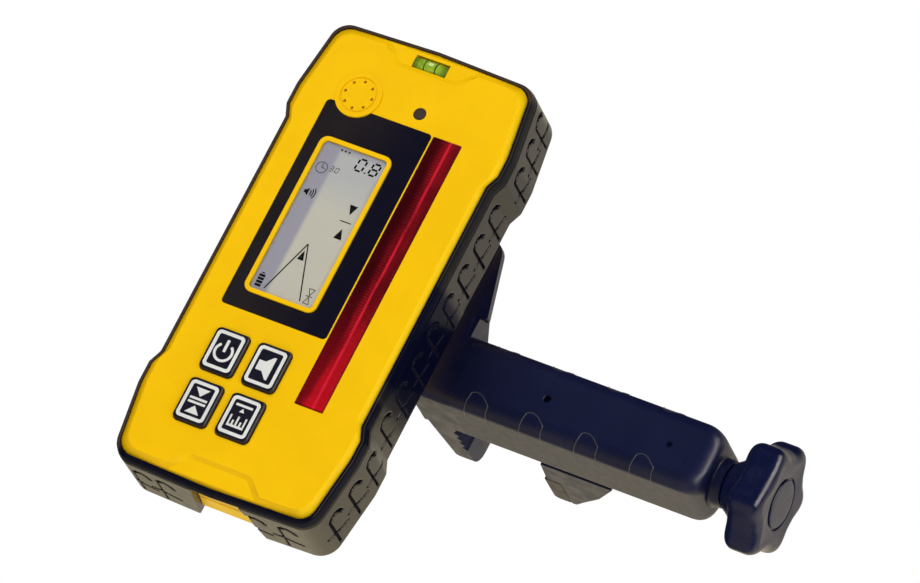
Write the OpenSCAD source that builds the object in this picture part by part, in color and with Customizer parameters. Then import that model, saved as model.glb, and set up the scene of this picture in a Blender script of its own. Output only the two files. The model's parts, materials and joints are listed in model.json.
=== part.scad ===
// Hand-held laser receiver on a rod clamp.
// Origin: middle of the clamp's rod seat. +X runs along the handle to the knob,
// +Y points from the seat into the rod, +Z is up. The receiver's face looks along -Y.

/* [Case] */
// Width over the bumper at its widest
case_w = 83.1; // [80:0.1:90]
// Height over the bumper
case_h = 170; // [167:0.5:178]
// Depth from the face to the back
case_d = 36.5; // [36:0.25:40]
// How far the waist is drawn in on each side
waist_in = 2; // [1:0.1:3]
// Height above and below the middle where the waist ends
step_z = 45.2; // [40:0.2:50]
// Length of the slope from the waist to the bulge
step_len = 4.6; // [3:0.1:6]
// How far the sides draw in from the bulge to the corners
end_taper = 3.6; // [2:0.1:5]
// Radius of the four corners
corner_r = 7.5; // [6:0.25:9]
// Rise of the arched top and bottom edges
end_arch = 1.2; // [0.5:0.1:2]
// Shell wall
wall = 2.4; // [1.8:0.1:2.8]
// Thickness of the front face
face_t = 2.6; // [2.2:0.1:3]
// Depth of the joint between the two shells
split_y = 16.6; // [15:0.2:17]
// Thickness of the case seal
seal_t = 0.8; // [0.6:0.1:1.2]
// Thickness of the back
back_t = 2.6; // [2.4:0.1:3.2]

/* [Bumper] */
// Rubber lip beside the face
lip_t = 1.95; // [1.5:0.05:2.4]
// Depth of the thin lip
lip_d = 7; // [6:0.5:8]
// Rubber behind the lip
rubber_t = 4.95; // [4.4:0.05:5.4]
// Depth of the bumper's back edge
rubber_d = 28.2; // [27:0.1:30]
// Width of the finger notch in the bottom, beside the lip
notch_w = 18; // [16:0.5:20]

/* [Window and display] */
// Width of the red window
window_w = 10.8; // [9:0.2:11]
// Height of the red window
window_h = 102; // [96:0.5:104]
// Window centre, right of the middle
window_x = 18.4; // [17.8:0.1:19]
// Window centre, above the middle
window_z = 4.5; // [3:0.25:6]
// Width of the raised display ring
ring_w = 27.1; // [25:0.1:28]
// Height of the raised display ring
ring_h = 59.6; // [56:0.2:61]
// Breadth of the ring itself
ring_t = 1.5; // [1.2:0.1:2]
// Display centre, left of the middle
ring_x = -9.1; // [-9.6:0.1:-8.6]
// Display centre, above the middle
ring_z = 13.5; // [12:0.25:15]
// Bezel width
bezel_w = 40; // [38.5:0.1:40]
// Bezel height
bezel_h = 78.7; // [76:0.1:80]

/* [Keys] */
// Key width
key_w = 12.4; // [11:0.1:13]
// Key height
key_h = 15.5; // [14:0.1:16]
// Distance between the key columns
key_pitch_x = 15.9; // [15.7:0.1:16.2]
// Distance between the key rows
key_pitch_z = 19; // [18.8:0.1:19.6]
// Middle of the keypad, left of the middle
keys_x = -9.2; // [-9.8:0.1:-8.6]
// Middle of the keypad, below the middle
keys_z = -48.3; // [-49:0.1:-47.4]
// How far a key stands proud
key_up = 1.5; // [1.1:0.1:1.8]
// Key travel
key_travel = 1; // [0.6:0.1:1.1]

/* [Battery box] */
// Cell radius
cell_r = 7.1; // [6.8:0.05:7.2]
// Cell body length
cell_l = 49; // [48:0.1:49.5]
// Door thickness
door_t = 2.2; // [1.8:0.1:2.4]
// Hinge pin radius
door_pin_r = 1; // [0.8:0.05:1.1]

/* [Clamp] */
// Handle length
handle_l = 109; // [108:0.5:120]
// Handle height
handle_h = 25; // [24.5:0.25:27]
// Handle depth
handle_d = 28.5; // [27:0.25:31]
// Edge radius of the handle's front
handle_r = 5.5; // [4:0.25:6.5]
// Handle centre line below the middle of the case
handle_drop = 3.75; // [2:0.25:5]
// Distance from the case's middle to the fixed jaw's face
grip_reach = 39.7; // [39:0.1:41]
// Gap between the jaws as drawn
rod_gap = 29.5; // [29:0.5:31]
// How far the jaws reach behind the seat
jaw_reach = 25.5; // [22:0.5:27]
// Thickness of the fixed jaw at its root
jaw_root = 10.1; // [9:0.1:11]
// Jaw travel towards the fixed jaw
travel_close = 24; // [20:0.5:24.5]
// Rubber of the grip sleeve
sleeve_t = 2.3; // [1.8:0.1:2.4]
// Wall of the handle tube
tube_t = 2.7; // [2.2:0.1:2.8]
// Bracket plate thickness
plate_t = 3.2; // [2.6:0.1:4]
// Height of the bracket's ear above the case's middle
ear_z = 41.3; // [39:0.1:43]

/* [Screw and knob] */
// Lead screw radius
screw_r = 4.5; // [4:0.1:4.8]
// Knob radius over the lobes
knob_r = 20.3; // [18:0.1:23]
// Knob radius in the flutes
flute_r = 17.2; // [15:0.1:17.8]
// Length of the lobes
lobe_l = 12.7; // [10:0.25:15]
// Number of lobes
lobes = 6; // [5:1:8]

/* [Hidden] */
$fn = 48;
arc_steps = 5;
edge_steps = 4;
fit_gap = 0.05;
run_gap = 0.08;
ease = 0.3;
over = 2;

// Places that tie the receiver and the clamp together
seat_w = 17;
seat_gap = 1.3;
seat_raise = 0.4;
grip_x = -seat_w / 2 - seat_gap;
case_at = [grip_x - grip_reach, -case_d - handle_d - seat_raise, handle_drop];
rear_y = -seat_raise;
front_y = rear_y - handle_d;
mid_y = rear_y - handle_d / 2;
handle_lead = 11.7;
handle_x0 = grip_x - handle_lead;
handle_x1 = handle_x0 + handle_l;

// Outline of the case
bulge_len = 8;
bulge_r = 2.5;
shoulder_r = 12;
edge_y = 1.6;
edge_in = 2.2;
rim_in = rubber_t + wall;
taper_y = 26.5;
back_in = 4;
lip_slope = 0.8;
crease_y = 4.8;
rubber_bevel = 1.2;
notch_y = 5;
notch_x = 1.2;
notch_left = 3.9;
notch_right = 4.6;
pad_up = 2.1;
pad_y = 25;

// The face is laid out for a case of this size, and stretches with the case
drawn_w = 83.1;
drawn_h = 170;
wide = case_w / drawn_w;
tall = case_h / drawn_h;
win_w = window_w * wide;
win_h = window_h * tall;
win_x = window_x * wide;
win_z = window_z * tall;
disp_w = ring_w * wide;
disp_h = ring_h * tall;
disp_x = ring_x * wide;
disp_z = ring_z * tall;
trim_w = bezel_w * wide;
trim_h = bezel_h * tall;
cap_w = key_w * wide;
cap_h = key_h * tall;
pitch_x = key_pitch_x * wide;
pitch_z = key_pitch_z * tall;
keypad_x = keys_x * wide;
keypad_z = keys_z * tall;

// Details of the face
bezel_r = 1.5;
bezel_t = 0.8;
bezel_gap = 0.5;
bezel_x = win_x - win_w / 2 - trim_w / 2 - bezel_gap;
bezel_lift = 2.95;
bezel_z = disp_z + bezel_lift * tall;
ring_r = 3;
ring_up = 0.5;
lens_y = -0.2;
lens_t = 0.6;
window_r = 0.8;
window_up = 0.3;
flange_in = 1;
flange_t = 0.8;
key_r = 1.8;
key_gap = 0.3;
key_flange = 1;
key_post_r = 2;
speaker_x = -17.9;
speaker_z = 60.2;
speaker_at = [speaker_x * wide, speaker_z * tall];
speaker_r = 8.1;
speaker_up = 0.5;
speaker_groove_r = 6.5;
speaker_groove_w = 0.6;
speaker_groove_t = 0.3;
speaker_hole_r = 0.55;
speaker_ring_r = 5;
speaker_holes = 8;
status_x = 4.8;
status_z = 61.2;
status_at = [status_x * wide, status_z * tall];
status_r = 2.2;
vial_r = 2.4;
vial_l = 12.6;
vial_y = 2.6;
vial_drop = 6.75;
vial_z = case_h / 2 - vial_drop;
vial_wall = 1.3;
relief_t = 0.7;
relief_w = 40;
relief_floor_w = 24;
relief_h = 8.2;
relief_r = 4;
relief_z = case_h / 2 - lip_t - relief_h / 2 - ease;

// Case screws
screw_side = 15.55;
screw_x = case_w / 2 - screw_side;
screw_drop = 6.8;
screw_z = case_h / 2 - rim_in - screw_drop;
case_screw_r = 1.5;
case_head_r = 2.8;
case_head_t = 2.4;
case_screw_l = 24;
post_r = 4;

// Boards behind the face
lcd_t = 2.35;
lcd_y = face_t + fit_gap;
light_y = lcd_y + lcd_t + fit_gap;
light_t = 2.5;
board_y = light_y + light_t + fit_gap;
board_t = 1.6;
board_side = 11.55;
board_x0 = board_side - case_w / 2;
board_gap = 0.5;
board_x1 = win_x - win_w / 2 - flange_in - board_gap;
board_z0 = post_r - screw_z + board_gap;
board_top = 33;
board_z1 = case_h / 2 - board_top;
board_r = 1;
board_post_r = 1.6;
board_post_in = 1.4;
board_post_drop = 5;
board_post_z = board_z1 - board_post_drop;
switch_w = 6;
switch_t = 2.5;
switch_y = board_y - switch_t;
diode_t = 1.5;
diode_w = 6.4;
diode_h = 4.6;
diodes = 15;
diode_y = face_t + fit_gap + flange_t + fit_gap;
strip_y = diode_y + diode_t;
strip_t = 1.6;
strip_w = 12;
strip_over = 5.8;
strip_post_r = 2;
buzzer_r = 6.4;
buzzer_t = 4;
link_h = 10;
link_w = 6.5;
link_lap = 2;
chip_t = 1.6;
chip_w = 12;
chip_gap = 4;

// Battery box and door
cell_gap = 0.9;
cell_side = cell_r + cell_gap / 2;
nub_r = 2.75;
nub_l = 1.5;
contact_t = 0.8;
contact_w = 9;
box_w = 4 * cell_r + 3 * cell_gap;
box_wall = 1.6;
box_foot = 7.2;
box_z0 = -case_h / 2 + rubber_t + box_foot;
box_h = cell_l + nub_l + 2 * contact_t + ease;
box_zc = box_z0 + box_h / 2;
door_seal_w = 1.4;
door_seal_t = 0.7;
door_in_y = case_d - door_t;
box_floor_y = door_in_y - door_seal_t - 2 * cell_r - cell_gap;
cell_y = box_floor_y + cell_r + cell_gap / 2;
door_w = box_w + 2 * door_seal_w + 2 * ease;
door_top_z = box_z0 + box_h + door_seal_w + ease;
door_low_z = box_z0 - door_seal_w - ease;
knuckle_t = 0.9;
knuckle_r = door_pin_r + knuckle_t;
hinge_y = case_d - door_pin_r - ease;
hinge_z = door_top_z + knuckle_r - ease;
lug_w = 3;
thumb_w = 18;
thumb_h = 4;
thumb_r = 1.6;
thumb_t = 1;
thumb_up = 5;

// Attachment of the clamp to the case
attach_z = 12;
attach_r = 3.1;
insert_r = 5;
insert_l = 8;
boss_t = 2.4;
washer_t = 0.8;
washer_r = 7;
head_r = 9;
head_l = 9;
head_flutes = 12;
head_flute_depth = 0.6;
peg_r = 2;
peg_l = 2;
peg_x = 15;
plate_x0 = -24;

// Handle, jaws and screw
screw_off_y = 0.7;
screw_off_z = -1.2;
axis_y = mid_y + screw_off_y;
axis_z = screw_off_z;
root_l = 16;
sleeve_x0 = handle_x0 + root_l;
nose_l = 8;
nose_in = 4.4;
sleeve_x1 = handle_x1 - nose_l;
tube_h = handle_h - 2 * sleeve_t;
tube_d = handle_d - 2 * sleeve_t;
bay_h = tube_h - 2 * tube_t;
bay_d = tube_d - 2 * tube_t;
end_wall = 4;
bay_x0 = handle_x0 + end_wall;
bay_r = 1;
rail_h = 16.6;
slot_h = 8;
neck_x = 14;
neck_l = 9;
jaw_clear = 0.9;
moving_x = grip_x + rod_gap;
slot_x0 = moving_x + neck_x - travel_close - ease;
nut_over = 0.5;
jaw_over = 4.5;
jaw_foot = 29.5;
jaw_flank = 20.8;
jaw_shoulder = 12;
jaw_round = 6;
jaw_tip = 4;
jaw_tip_r = 6;
pad_t = 6.4;
pad_y0 = 14;
pad_back = 2;
tooth_n = 4;
tooth_reach = 16;
tooth_t = 1.7;
journal_r = 3;
journal_l = 3;
bush_t = 1;
collar_r = 5.9;
collar_l = 2.5;
hub_r = 8.2;
hub_l = 3.8;
plug_l = 3;
knob_gap = 0.4;
knob_back_l = 6;
knob_back_r = 13;
knob_x0 = handle_x1 + hub_l + knob_gap;
lobe_x0 = knob_x0 + knob_back_l;
knob_x1 = lobe_x0 + lobe_l;
knob_edge = 4.2;
lobe_power = 1.5;
lobe_turn = 87.2;
knob_cap_r = 8.3;
knob_cap_t = 1.2;
fin_t = 3.3;
fin_reach = 22.5;
fin_rise = 13.4;
fin_side = 1.1;
ear_tip = 4.6;
ear_in = 2.7;
ear_r = 2;
rear_r = 1.2;

// Corner b between a and c, rounded with radius r, as points of an arc
function unit(v) = v / norm(v);
function arc_corner(a, b, c, r) =
    let(u = unit(a - b), v = unit(c - b), half = acos(u * v) / 2)
    let(o = b + unit(u + v) * r / sin(half), p = b + u * r / tan(half), q = b + v * r / tan(half))
    let(a0 = atan2(p[1] - o[1], p[0] - o[0]), a1 = atan2(q[1] - o[1], q[0] - o[0]))
    let(turn = a1 - a0 > 180 ? a1 - a0 - 360 : a1 - a0 < -180 ? a1 - a0 + 360 : a1 - a0)
    [for (i = [0:arc_steps]) o + r * [cos(a0 + turn * i / arc_steps), sin(a0 + turn * i / arc_steps)]];

// Outline through corners [x, y, radius]
function flat(p) = [p[0], p[1]];
function rounded(c) =
    let(n = len(c))
    [for (i = [0:n - 1])
        let(a = flat(c[(i + n - 1) % n]), b = flat(c[i]), d = flat(c[(i + 1) % n]))
        each (c[i][2] > 0 ? arc_corner(a, b, d, c[i][2]) : [b])];

// Right-hand corners of the case, drawn in by d
function case_side(d) =
    let(w = case_w / 2 - d, h = case_h / 2 - d, waist = w - waist_in, top = step_z + step_len)
    let(corner = corner_r - d / 2)
    [[0, h, 0], [w - end_taper, h - end_arch, corner], [w, top + bulge_len, shoulder_r],
     [w, top, bulge_r], [waist, step_z, bulge_r], [waist, -step_z, bulge_r], [w, -top, bulge_r],
     [w, -top - bulge_len, shoulder_r], [w - end_taper, end_arch - h, corner], [0, -h, 0]];
function case_points(d) =
    let(side = case_side(d), n = len(side))
    rounded(concat(side, [for (i = [n - 2:-1:1]) [-side[i][0], side[i][1], side[i][2]]]));

module case_outline(d) {
    polygon(case_points(d));
}

module case_ring(d, t) {
    difference() {
        case_outline(d);
        case_outline(d + t);
    }
}

function rect_points(w, h, r) =
    rounded([[w / 2, h / 2, r], [-w / 2, h / 2, r], [-w / 2, -h / 2, r], [w / 2, -h / 2, r]]);

module rect(w, h, r) {
    polygon(rect_points(w, h, r));
}

// Round wave between two radii, for lobes and knurls, turned by an angle
function fluted_points(r0, r1, n, turn) =
    let(count = n * 2 * arc_steps)
    [for (i = [0:count - 1])
        let(a = 360 * i / count, r = r0 + (r1 - r0) * pow((1 + cos(n * a)) / 2, lobe_power))
        r * [cos(a + turn), sin(a + turn)]];

// Outlines stood across X, and the solid that passes through a list of them from +X to -X
function across_x(points, x) = [for (p = points) [x, p[0], p[1]]];
function quarter() = [for (k = [0:edge_steps]) 90 * k / edge_steps];

module loft(rings) {
    n = len(rings[0]);
    last = (len(rings) - 1) * n;
    polyhedron(points = [for (r = rings) each r], faces = concat(
        [[for (i = [n - 1:-1:0]) i], [for (i = [0:n - 1]) last + i]],
        [for (k = [0:len(rings) - 2], i = [0:n - 1], t = [0, 1])
            let(a = k * n + i, b = k * n + (i + 1) % n)
            t == 0 ? [a, b, a + n] : [b, b + n, a + n]]));
}

// Flat shapes given depth along Y, X or Z
module slab(y0, y1) {
    translate([0, y1, 0]) rotate([90, 0, 0]) linear_extrude(y1 - y0) children();
}

module bar(x0, x1) {
    translate([x0, 0, 0]) rotate([90, 0, 90]) linear_extrude(x1 - x0) children();
}

module plan(z0, z1) {
    translate([0, 0, z0]) linear_extrude(z1 - z0) children();
}

module disc_y(r, y0, y1) {
    translate([0, y1, 0]) rotate([90, 0, 0]) cylinder(r = r, h = y1 - y0);
}

module disc_x(r, x0, x1) {
    translate([x0, 0, 0]) rotate([0, 90, 0]) cylinder(r = r, h = x1 - x0);
}

// Case outline drawn in by d at y0 and by a further t at y1
module bevel(y0, y1, d, t) {
    w = case_w / 2 - d;
    h = case_h / 2 - d;
    translate([0, y0, 0]) mirror([0, 1, 0]) rotate([90, 0, 0])
        linear_extrude(y1 - y0, scale = [1 - t / w, 1 - t / h], slices = 1) case_outline(d);
}

module at_case() {
    translate(case_at) children();
}

module at_axis() {
    translate([0, axis_y, axis_z]) children();
}

module at_hinge() {
    translate([0, hinge_y, hinge_z]) children();
}

module put(p) {
    translate([p[0], 0, p[1]]) children();
}

// Trapezoid pressed into the face beside the top (up = 1) or bottom (up = -1) of the case
module relief(up) {
    w = relief_w / 2;
    f = relief_floor_w / 2;
    h = up * relief_h / 2;
    put([0, up * relief_z]) slab(-over, relief_t)
        polygon(rounded([[w, h, 0], [-w, h, 0], [-f, -h, relief_r], [f, -h, relief_r]]));
}

module key_places() {
    for (i = [-1, 1], k = [-1, 1])
        put([keypad_x + i * pitch_x / 2, keypad_z + k * pitch_z / 2]) children();
}

module screw_places() {
    for (i = [-1, 1], k = [-1, 1])
        put([i * screw_x, k * screw_z]) children();
}

module board_places() {
    reach = board_post_in + board_post_r;
    for (x = [board_x0 + reach, board_x1 - reach], z = [board_post_z, board_z0 + reach])
        put([x, z]) children();
}

module speaker_places() {
    for (i = [0:speaker_holes - 1])
        let(a = 360 * i / speaker_holes)
        put(speaker_at + speaker_ring_r * [cos(a), sin(a)]) children();
}

module strip_places() {
    for (k = [-1, 1])
        put([win_x, win_z + k * (win_h / 2 + strip_over - strip_post_r)]) children();
}

// Sides of the finger notch at a depth
function notch_part(y) = (y - notch_y) / (rubber_d + over - notch_y);
function notch_low_x(y) = notch_x - notch_w / 2 - notch_left * notch_part(y);
function notch_high_x(y) = notch_x + notch_w / 2 + notch_right * notch_part(y);

// Pad of the shell that stands in the finger notch
module notch_pad(y0, y1) {
    put([0, -case_h / 2]) plan(rubber_t - pad_up, rubber_t + wall / 2)
        polygon([[notch_low_x(y0) + ease, y0], [notch_high_x(y0) - ease, y0],
            [notch_high_x(y1) - ease, y1], [notch_low_x(y1) + ease, y1]]);
}

module front_blank() {
    inner = split_y - seal_t / 2;
    slab(edge_y, face_t) case_outline(lip_t);
    mirror([0, 1, 0]) bevel(-edge_y, 0, lip_t, edge_in);
    slab(face_t, lip_d - fit_gap) case_ring(lip_t, rim_in - lip_t);
    slab(lip_d - fit_gap, inner) case_ring(rubber_t, wall);
    notch_pad(lip_d + ease, inner);
    put(speaker_at) disc_y(speaker_r, -speaker_up, face_t);
    put([0, vial_z]) slab(face_t, vial_y + vial_r + vial_wall)
        rect(vial_l + 2 * vial_wall, 2 * vial_r + 2 * vial_wall, vial_wall / 2);
    screw_places() disc_y(post_r, face_t, inner);
    board_places() disc_y(board_post_r, face_t, board_y);
    strip_places() disc_y(strip_post_r, face_t, strip_y);
}

module front_shell() {
    color("gold") at_case() difference() {
        union() {
            difference() {
                front_blank();
                put([bezel_x, bezel_z]) slab(-over, bezel_t) difference() {
                    rect(trim_w, trim_h, bezel_r);
                    translate(speaker_at - [bezel_x, bezel_z]) circle(speaker_r);
                }
            }
            put([disp_x, disp_z]) slab(-ring_up, face_t) rect(disp_w, disp_h, ring_r);
        }
        put([disp_x, disp_z]) slab(-over, face_t + over)
            rect(disp_w - 2 * ring_t, disp_h - 2 * ring_t, ring_r - ring_t);
        put([win_x, win_z]) slab(-over, face_t + over) rect(win_w, win_h, window_r);
        key_places() slab(-over, face_t + over)
            rect(cap_w + 2 * key_gap, cap_h + 2 * key_gap, key_r + key_gap);
        speaker_places() disc_y(speaker_hole_r, -over, face_t + over);
        put(speaker_at) slab(-over, speaker_groove_t - speaker_up) difference() {
            circle(speaker_groove_r);
            circle(speaker_groove_r - speaker_groove_w);
        }
        put(status_at) disc_y(status_r + fit_gap, -over, face_t + over);
        relief(1);
        relief(-1);
        put([0, vial_z]) slab(-over, vial_y) rect(vial_l + 2 * fit_gap, 2 * (vial_r + fit_gap), 0);
        translate([0, vial_y, vial_z])
            disc_x(vial_r + fit_gap, -vial_l / 2 - fit_gap, vial_l / 2 + fit_gap);
        screw_places() disc_y(case_screw_r + fit_gap, face_t + over, split_y + over);
    }
}

// Rear half of the case, hollow, drawn in towards its back
module rear_blank() {
    plate_y = case_d - back_t;
    difference() {
        union() {
            slab(split_y + seal_t / 2, taper_y) case_outline(rubber_t);
            bevel(taper_y, case_d, rubber_t, back_in);
        }
        slab(split_y, taper_y + fit_gap) case_outline(rim_in);
        bevel(taper_y, plate_y, rim_in, back_in * (plate_y - taper_y) / (case_d - taper_y));
    }
}

module rear_shell() {
    plate_y = case_d - back_t;
    color("goldenrod") at_case() difference() {
        union() {
            rear_blank();
            notch_pad(split_y + seal_t / 2, pad_y);
            put([0, box_zc]) slab(box_floor_y - box_wall, plate_y)
                rect(box_w + 2 * box_wall, box_h + 2 * box_wall, box_wall);
            screw_places() disc_y(post_r, split_y + seal_t / 2, plate_y);
            put([0, attach_z]) disc_y(insert_r + boss_t, case_d - insert_l - boss_t, plate_y);
        }
        put([0, box_zc]) slab(box_floor_y, case_d + over) rect(box_w, box_h, box_wall / 2);
        put([0, box_zc]) slab(door_in_y - door_seal_t, case_d + over)
            rect(box_w + 2 * door_seal_w, box_h + 2 * door_seal_w, box_wall);
        put([0, (door_top_z + door_low_z) / 2]) slab(door_in_y - fit_gap, case_d + over)
            rect(door_w + 2 * ease, door_top_z - door_low_z + 2 * ease, box_wall / 2);
        at_hinge() disc_x(knuckle_r + ease, -door_w / 2 - ease, door_w / 2 + ease);
        put([0, hinge_z]) slab(hinge_y, case_d + over) rect(door_w + 2 * ease, 2 * (knuckle_r + ease), 0);
        at_hinge() disc_x(door_pin_r + fit_gap, -door_w / 2 - lug_w, door_w / 2 + lug_w);
        screw_places() disc_y(case_screw_r + fit_gap, split_y - over, case_d + over);
        screw_places() disc_y(case_head_r + fit_gap, case_d - 2 * case_head_t, case_d + over);
        put([0, attach_z]) disc_y(insert_r + fit_gap, case_d - insert_l, case_d + over);
        for (i = [-1, 1])
            put([i * peg_x, attach_z]) disc_y(peg_r + fit_gap, case_d - peg_l - ease, case_d + over);
    }
}

// Finger notch seen from below, wider towards the back
module notch_plan() {
    back = rubber_d + over;
    polygon([[notch_low_x(notch_y), notch_y], [notch_high_x(notch_y), notch_y],
        [notch_high_x(back), back], [notch_low_x(back), back]]);
}

module bumper() {
    color("dimgray") at_case() difference() {
        union() {
            mirror([0, 1, 0]) bevel(-crease_y, -edge_y / 2, 0, lip_slope);
            slab(crease_y, rubber_d - rubber_bevel) case_outline(0);
            bevel(rubber_d - rubber_bevel, rubber_d, 0, rubber_bevel);
        }
        slab(-over, lip_d) case_outline(lip_t - fit_gap);
        slab(lip_d - fit_gap, rubber_d + over) case_outline(rubber_t - fit_gap);
        put([0, -case_h / 2]) plan(-2 * rubber_t, 2 * rubber_t) notch_plan();
    }
}

module case_seal() {
    half = seal_t / 2 - fit_gap;
    color("black") at_case() slab(split_y - half, split_y + half)
        case_ring(rubber_t + fit_gap, wall - 2 * fit_gap);
}

module bezel() {
    color("black") at_case() put([bezel_x, bezel_z]) slab(fit_gap, bezel_t - fit_gap) difference() {
        rect(trim_w - 2 * fit_gap, trim_h - 2 * fit_gap, bezel_r);
        translate([disp_x - bezel_x, disp_z - bezel_z])
            rect(disp_w + 2 * fit_gap, disp_h + 2 * fit_gap, ring_r);
        translate(speaker_at - [bezel_x, bezel_z]) circle(speaker_r + fit_gap);
    }
}

// Opening of the display's ring, less a fit gap
module display_field() {
    in = 2 * ring_t + 2 * fit_gap;
    rect(disp_w - in, disp_h - in, ring_r - ring_t);
}

module display_lens() {
    color("lightgray", 0.4) at_case() put([disp_x, disp_z]) slab(lens_y, lens_y + lens_t) display_field();
}

// Display glass with a step that fills the ring's opening up to the lens
module lcd_panel() {
    color("silver") at_case() put([disp_x, disp_z]) {
        slab(lens_y + lens_t + fit_gap, lcd_y + lcd_t / 2) display_field();
        slab(lcd_y, lcd_y + lcd_t) rect(disp_w, disp_h, ring_t);
    }
}

module backlight() {
    color("white") at_case() put([disp_x, disp_z]) slab(light_y, light_y + light_t)
        rect(disp_w, disp_h, ring_t);
}

module red_window() {
    lip_y = face_t + fit_gap;
    color("darkred") at_case() put([win_x, win_z]) {
        slab(-window_up, lip_y) rect(win_w - 2 * fit_gap, win_h - 2 * fit_gap, window_r);
        slab(lip_y, lip_y + flange_t) rect(win_w + 2 * flange_in, win_h + 2 * flange_in, window_r);
    }
}

module diode_board() {
    color("darkgreen") at_case() put([win_x, win_z])
        slab(strip_y + fit_gap, strip_y + strip_t) rect(strip_w, win_h + 2 * strip_over, window_r);
}

module photodiodes() {
    pitch = win_h / diodes;
    color("dimgray") at_case() for (i = [0:diodes - 1])
        put([win_x, win_z + (i - (diodes - 1) / 2) * pitch])
            slab(diode_y, strip_y) rect(diode_w, diode_h, 0);
}

module main_board() {
    color("darkgreen") at_case() put([(board_x0 + board_x1) / 2, (board_z0 + board_z1) / 2])
        slab(board_y + fit_gap, board_y + board_t) rect(board_x1 - board_x0, board_z1 - board_z0, board_r);
}

module board_chips() {
    chip_y = board_y + board_t;
    color("black") at_case() for (k = [-1, 0, 1])
        put([keypad_x, disp_z + k * (chip_w + chip_gap)])
            slab(chip_y, chip_y + chip_t) rect(chip_w, chip_w, 0);
}

module flex_link() {
    color("peru") at_case() put([board_x1 - link_lap + link_w / 2, win_z])
        slab(strip_y + strip_t + fit_gap, board_y) rect(link_w, link_h, 0);
}

module key(i, k) {
    seat = face_t + 2 * fit_gap;
    back = seat + flange_t;
    color("black") at_case() put([keypad_x + i * pitch_x / 2, keypad_z + k * pitch_z / 2]) {
        slab(-key_up, seat) rect(cap_w, cap_h, key_r);
        slab(seat, back) rect(cap_w + 2 * key_flange, cap_h + 2 * key_flange, key_r);
        disc_y(key_post_r, back, switch_y - key_travel - 2 * fit_gap);
    }
}

module power_key() {
    key(-1, 1);
}

module sound_key() {
    key(1, 1);
}

module precision_key() {
    key(-1, -1);
}

module units_key() {
    key(1, -1);
}

module dome_switches() {
    color("silver") at_case() key_places() slab(switch_y, board_y + fit_gap) rect(switch_w, switch_w, 0);
}

module buzzer() {
    color("silver") at_case() put(speaker_at) disc_y(buzzer_r, face_t + fit_gap, face_t + buzzer_t);
}

module status_lens() {
    lip_y = face_t + fit_gap;
    color("black") at_case() put(status_at) {
        disc_y(status_r, -window_up, lip_y);
        disc_y(status_r + flange_in, lip_y, lip_y + flange_t);
    }
}

module level_vial() {
    color("yellowgreen") at_case() translate([0, vial_y, vial_z]) disc_x(vial_r, -vial_l / 2, vial_l / 2);
}

module battery_door() {
    color("gold") at_case() difference() {
        union() {
            put([0, (door_top_z + door_low_z) / 2]) slab(door_in_y, case_d)
                rect(door_w, door_top_z - door_low_z, box_wall / 2);
            at_hinge() disc_x(knuckle_r, -door_w / 2, door_w / 2);
            put([0, hinge_z - knuckle_r / 2]) slab(door_in_y, hinge_y) rect(door_w, knuckle_r, 0);
        }
        at_hinge() disc_x(door_pin_r + fit_gap, -door_w, door_w);
        put([0, door_low_z + thumb_up]) slab(case_d - thumb_t, case_d + over) rect(thumb_w, thumb_h, thumb_r);
    }
}

module door_pin() {
    half = door_w / 2 + lug_w - fit_gap;
    color("silver") at_case() at_hinge() disc_x(door_pin_r, -half, half);
}

module door_seal() {
    color("black") at_case() put([0, box_zc])
        slab(door_in_y - door_seal_t + fit_gap, door_in_y - fit_gap) difference() {
            rect(box_w + 2 * door_seal_w - 2 * fit_gap, box_h + 2 * door_seal_w - 2 * fit_gap, box_wall);
            rect(box_w, box_h, box_wall / 2);
        }
}

module battery_cells() {
    color("slategray") at_case() for (i = [-1, 1])
        translate([i * cell_side, cell_y, box_zc]) mirror([0, 0, i < 0 ? 1 : 0]) {
            translate([0, 0, -(cell_l + nub_l) / 2]) cylinder(r = cell_r, h = cell_l);
            translate([0, 0, (cell_l - nub_l) / 2]) cylinder(r = nub_r, h = nub_l);
        }
}

module battery_contacts() {
    color("silver") at_case() for (i = [-1, 1], k = [-1, 1])
        put([i * cell_side, box_zc + k * ((box_h - contact_t) / 2 - fit_gap)])
            slab(cell_y - contact_w / 2, cell_y + contact_w / 2) rect(contact_w, contact_t, 0);
}

module case_screws() {
    head_y = case_d - 2 * case_head_t + fit_gap;
    color("silver") at_case() screw_places() {
        disc_y(case_screw_r, head_y - case_screw_l, head_y);
        disc_y(case_head_r, head_y, head_y + case_head_t);
    }
}

module mount_insert() {
    color("gold") at_case() put([0, attach_z]) difference() {
        disc_y(insert_r, case_d - insert_l + fit_gap, case_d - fit_gap);
        disc_y(attach_r + run_gap, case_d - insert_l - over, case_d + over);
    }
}

// Section of the handle about its middle, drawn in by d, with its own radius at the front and the rear
function handle_points(d, front, rear) =
    let(w = handle_d / 2 - d, h = handle_h / 2 - d)
    rounded([[w, h, rear], [-w, h, front], [-w, -h, front], [w, -h, rear]]);

module handle_section(d) {
    polygon(handle_points(d, handle_r - d, max(0, rear_r - d)));
}

module handle_bar(x0, x1, d) {
    translate([0, mid_y, 0]) bar(x0, x1) handle_section(d);
}

module bay_bar(x0, x1, d) {
    translate([0, mid_y, 0]) bar(x0, x1) rect(bay_d - 2 * d, bay_h - 2 * d, bay_r);
}

// Front view of the bracket: its ear ends in a pointer above a notch beside the handle
module bracket_outline() {
    low = -handle_drop - handle_h / 2 + handle_r;
    top = -handle_drop + handle_h / 2;
    right = handle_x0 + root_l - case_at[0];
    polygon(rounded([[plate_x0, low, handle_r], [plate_x0, ear_z, 2 * handle_r],
        [grip_reach - ear_in, ear_z, handle_r], [grip_reach + ear_tip, top + ear_tip, bay_r],
        [grip_reach - bay_r, top + ear_tip + fin_t, ear_r], [grip_reach, top - bay_r, bay_r],
        [right, top - handle_r, 0], [right, low, 0]]));
}

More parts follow.
